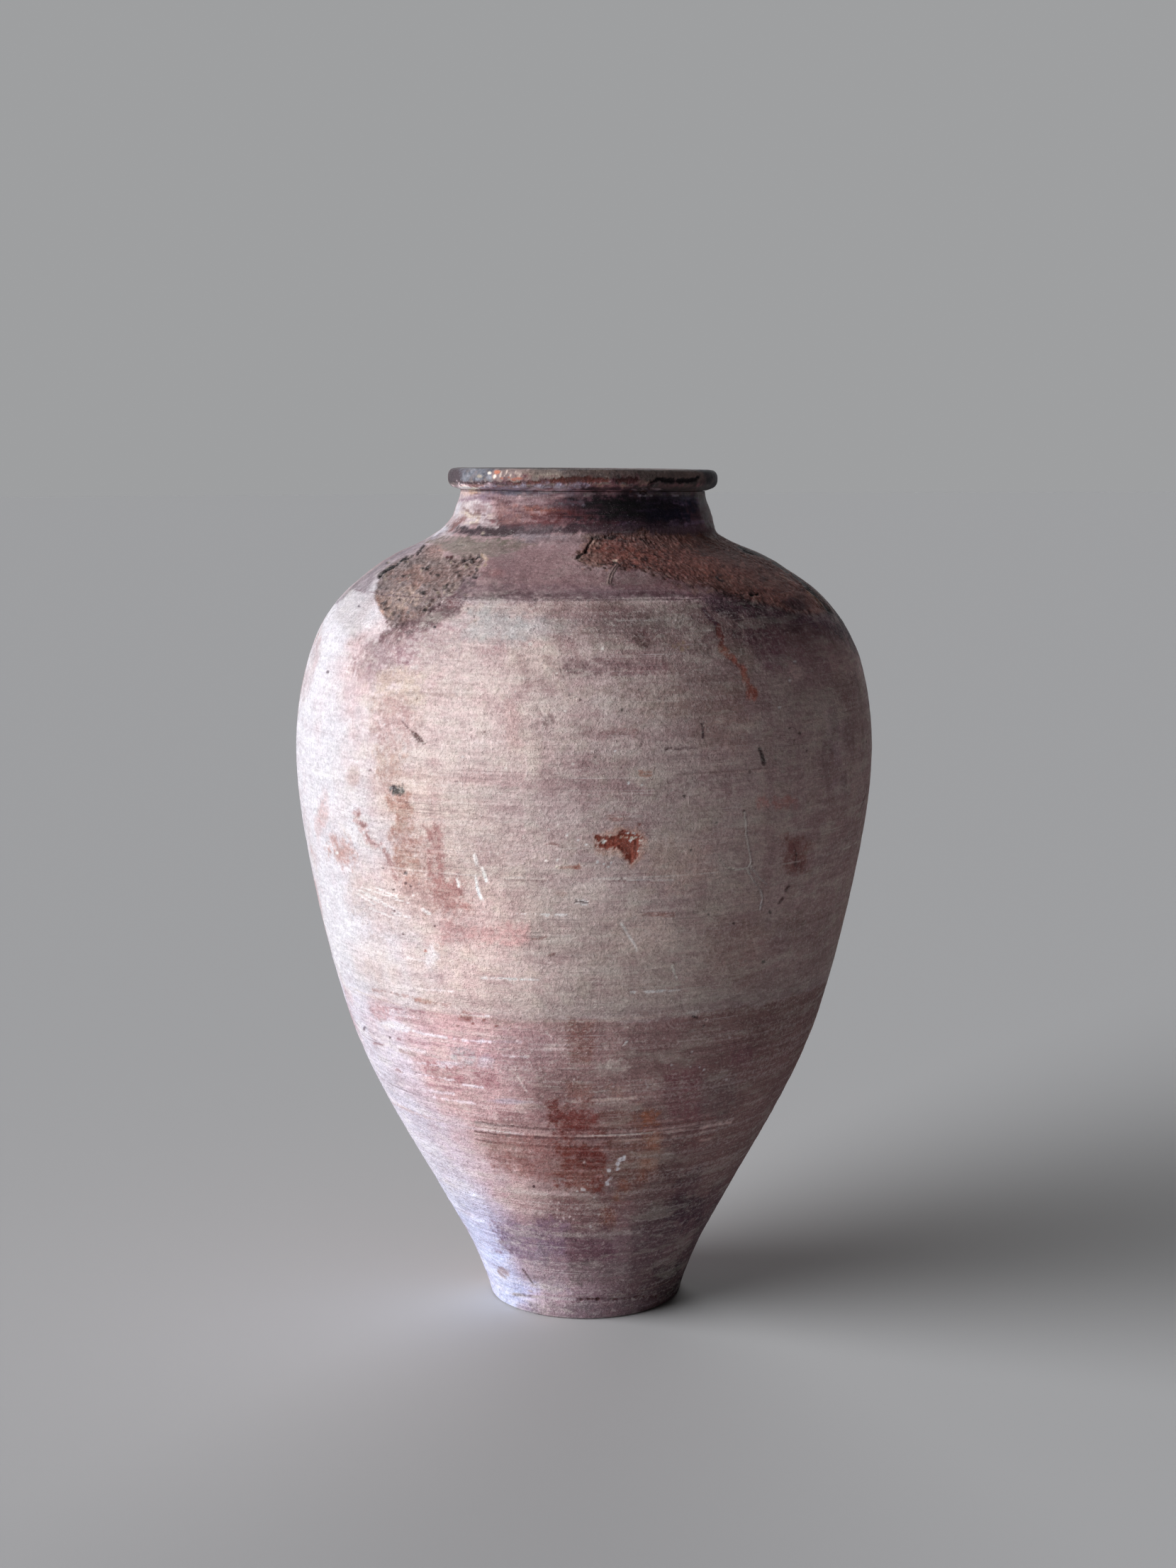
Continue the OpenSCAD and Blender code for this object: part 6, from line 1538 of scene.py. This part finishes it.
    # relief
    h = maths("MULTIPLY", maths("ADD", maths("MULTIPLY", fine_lines, 0.00032 * lines), maths("MULTIPLY", mid_lines, 0.00040 * lines)), drag)
    h = maths("ADD", h, maths("MULTIPLY", grain, 0.00014))
    h = maths("ADD", h, maths("MULTIPLY", grain2, 0.00072))
    h = maths("ADD", h, maths("MULTIPLY", grain3, 0.00075))
    h = maths("ADD", h, maths("MULTIPLY", band(skin, 0.46, 0.66), 0.00016))
    h = maths("ADD", h, maths("MULTIPLY", band(skin2, 0.47, 0.64), 0.00016))
    h = maths("ADD", h, maths("MULTIPLY", band(noise(520, 2, 0.5, shift=(3, 6, 9)), 0.58, 0.68), 0.00034))
    h = maths("SUBTRACT", h, maths("MULTIPLY", band(fleck, 0.58, 0.68), 0.00018))
    h = maths("SUBTRACT", h, maths("MULTIPLY", tick, 0.00020))
    h = maths("ADD", h, maths("MULTIPLY", maths("MULTIPLY", broken, lumps), 0.0019))
    bmp = node("ShaderNodeBump")
    bmp.inputs["Strength"].default_value = 0.9 * bump
    bmp.inputs["Distance"].default_value = 1.0
    links.new(h, bmp.inputs["Height"])

    sh = node("ShaderNodeBsdfPrincipled")
    put(sh.inputs["Base Color"], col)
    put(sh.inputs["Roughness"], maths("MULTIPLY_ADD", grain2, 0.10, rough_base - 0.05, clamp=True))
    sh.inputs["Specular IOR Level"].default_value = spec
    links.new(bmp.outputs[0], sh.inputs["Normal"])
    out = node("ShaderNodeOutputMaterial")
    links.new(sh.outputs[0], out.inputs["Surface"])
    return m


MATS = {"foot_clay": clay_material("foot_clay_look"),
        "body_clay": clay_material("body_clay_look"),
        "shoulder_clay": clay_material("shoulder_clay_look", bloom=0.7, bump=0.55),
        "neck_clay": clay_material("neck_clay_look", bloom=0.4, lines=0.6, bump=0.7),
        "rim_clay": clay_material("rim_clay_look", bloom=0.4, lines=0.6, spec=0.35),
        "slip": clay_material("slip_look", lines=0.5)}
SLOT = {e["node"]: e["material_slot"] for e in frame["record"]["subparts"]}


# ---------------------------------------------------------------- meshes
def build(name):
    g = grid[name]
    lo, hi = g["span"]
    pts = PD[lo:hi] / 1000.0
    col, msk = COL[lo:hi], MSK[lo:hi]
    k = g["rows"]
    r = np.arange(k if name not in AXIS_Z else k - 1)
    c = np.arange(N)
    a_ = (r[:, None] * N + c).ravel()
    b_ = (r[:, None] * N + (c + 1) % N).ravel()
    nr = ((r + 1) % k)[:, None]
    d_ = (nr * N + c).ravel()
    c_ = (nr * N + (c + 1) % N).ravel()
    quads = np.stack([a_, b_, c_, d_], 1)
    tris = np.zeros((0, 3), int)
    if name in AXIS_Z:
        z0, z1 = AXIS_Z[name]
        pts = np.vstack([pts, [(0, 0, z0 / 1000), (0, 0, z1 / 1000)]])
        col = np.vstack([col, col[0], col[-1]])
        msk = np.vstack([msk, msk[0], msk[-1]])
        n0, n1 = len(pts) - 2, len(pts) - 1
        e = (k - 1) * N
        tris = np.concatenate([np.stack([np.full(N, n0), (c + 1) % N, c], 1), np.stack([np.full(N, n1), e + c, e + (c + 1) % N], 1)])
    # outward faces: the signed volume is positive
    q = pts[quads]
    v6 = (np.cross(q[:, 0], q[:, 1]) * q[:, 2]).sum() + (np.cross(q[:, 0], q[:, 2]) * q[:, 3]).sum()
    if v6 < 0:
        quads, tris = quads[:, ::-1], tris[:, ::-1]
    me = bpy.data.meshes.new(name + "_weathered")
    nv, nq, nt_ = len(pts), len(quads), len(tris)
    me.vertices.add(nv)
    me.vertices.foreach_set("co", pts.astype(np.float32).ravel())
    me.loops.add(nq * 4 + nt_ * 3)
    me.loops.foreach_set("vertex_index", np.concatenate([quads.ravel(), tris.ravel()]).astype(np.int32))
    me.polygons.add(nq + nt_)
    me.polygons.foreach_set("loop_start", np.concatenate([np.arange(nq) * 4, nq * 4 + np.arange(nt_) * 3]).astype(np.int32))
    me.update(calc_edges=True)
    me.polygons.foreach_set("use_smooth", np.ones(nq + nt_, bool))
    me.set_sharp_from_angle(angle=math.radians(58))
    for key, data in (("tint", col), ("wear", msk)):
        at = me.attributes.new(key, "FLOAT_COLOR", "POINT")
        at.data.foreach_set("color", data.astype(np.float32).ravel())
    me.materials.append(MATS[SLOT[name]])
    ob = bpy.data.objects.new(name + "_weathered", me)
    bpy.context.scene.collection.objects.link(ob)
    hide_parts(name)
    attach(ob, "root")
    return ob


for name in names:
    build(name)

# ---------------------------------------------------------------- stage, light and camera
floor = bpy.data.meshes.new("studio_floor")
ring = [(60 * math.cos(q), 60 * math.sin(q), 0.0) for q in np.linspace(0, 2 * math.pi, 97)[:-1]]
floor.from_pydata(ring, [], [tuple(range(96))])
fl = bpy.data.objects.new("studio_floor", floor)
bpy.context.scene.collection.objects.link(fl)
fm = bpy.data.materials.new("studio_floor_look")
fm.use_nodes = True
fb = fm.node_tree.nodes["Principled BSDF"]
fb.inputs["Base Color"].default_value = (*FLOOR_OWN, 1)
fb.inputs["Roughness"].default_value = 0.9
fb.inputs["Specular IOR Level"].default_value = 0.0
floor.materials.append(fm)


BACK = (0.343, 0.347, 0.353)          # the plain tone behind, as bright as the far floor

for name, az, el, half, power, colour in LAMPS:
    li = bpy.data.lights.new(name, "SUN")
    li.energy = power * math.pi
    li.angle = math.radians(2 * half)
    li.color = [q / max(colour) for q in colour]
    li.energy *= max(colour)
    ob = bpy.data.objects.new(name, li)
    z = toward(az, el)
    x = np.cross([0, 0, 1.0], z)
    x /= np.linalg.norm(x)
    M = np.eye(4)
    M[:3, 0], M[:3, 1], M[:3, 2], M[:3, 3] = x, np.cross(z, x), z, 3 * z
    ob.matrix_world = Matrix(M.tolist())
    bpy.context.scene.collection.objects.link(ob)

w = bpy.data.worlds.new("studio_air")
bpy.context.scene.world = w
w.use_nodes = True
wn = w.node_tree
wn.nodes.clear()
air = wn.nodes.new("ShaderNodeBackground")
air.inputs["Color"].default_value = (*[float(q) for q in AIR], 1)
seen = wn.nodes.new("ShaderNodeBackground")
seen.inputs["Color"].default_value = (*BACK, 1)
lp = wn.nodes.new("ShaderNodeLightPath")
mx = wn.nodes.new("ShaderNodeMixShader")
wo = wn.nodes.new("ShaderNodeOutputWorld")
wn.links.new(lp.outputs["Is Camera Ray"], mx.inputs[0])
wn.links.new(air.outputs[0], mx.inputs[1])
wn.links.new(seen.outputs[0], mx.inputs[2])
wn.links.new(mx.outputs[0], wo.inputs["Surface"])

cam = bpy.data.cameras.new("camera")
cam.sensor_fit = "AUTO"
cam.sensor_width = 36.0
cam.lens = F_PX / 2212.0 * 36.0
cam.clip_start, cam.clip_end = 0.05, 100
cam.dof.use_dof = False
co = bpy.data.objects.new("camera", cam)
M = np.eye(4)
M[:3, 0], M[:3, 1], M[:3, 2], M[:3, 3] = RIGHT, UP, -FWD, CAM
co.matrix_world = Matrix(M.tolist())
bpy.context.scene.collection.objects.link(co)
bpy.context.scene.camera = co
bpy.context.scene.view_settings.view_transform = "Standard"
bpy.context.scene.view_settings.look = "None"

bpy.context.view_layer.update()
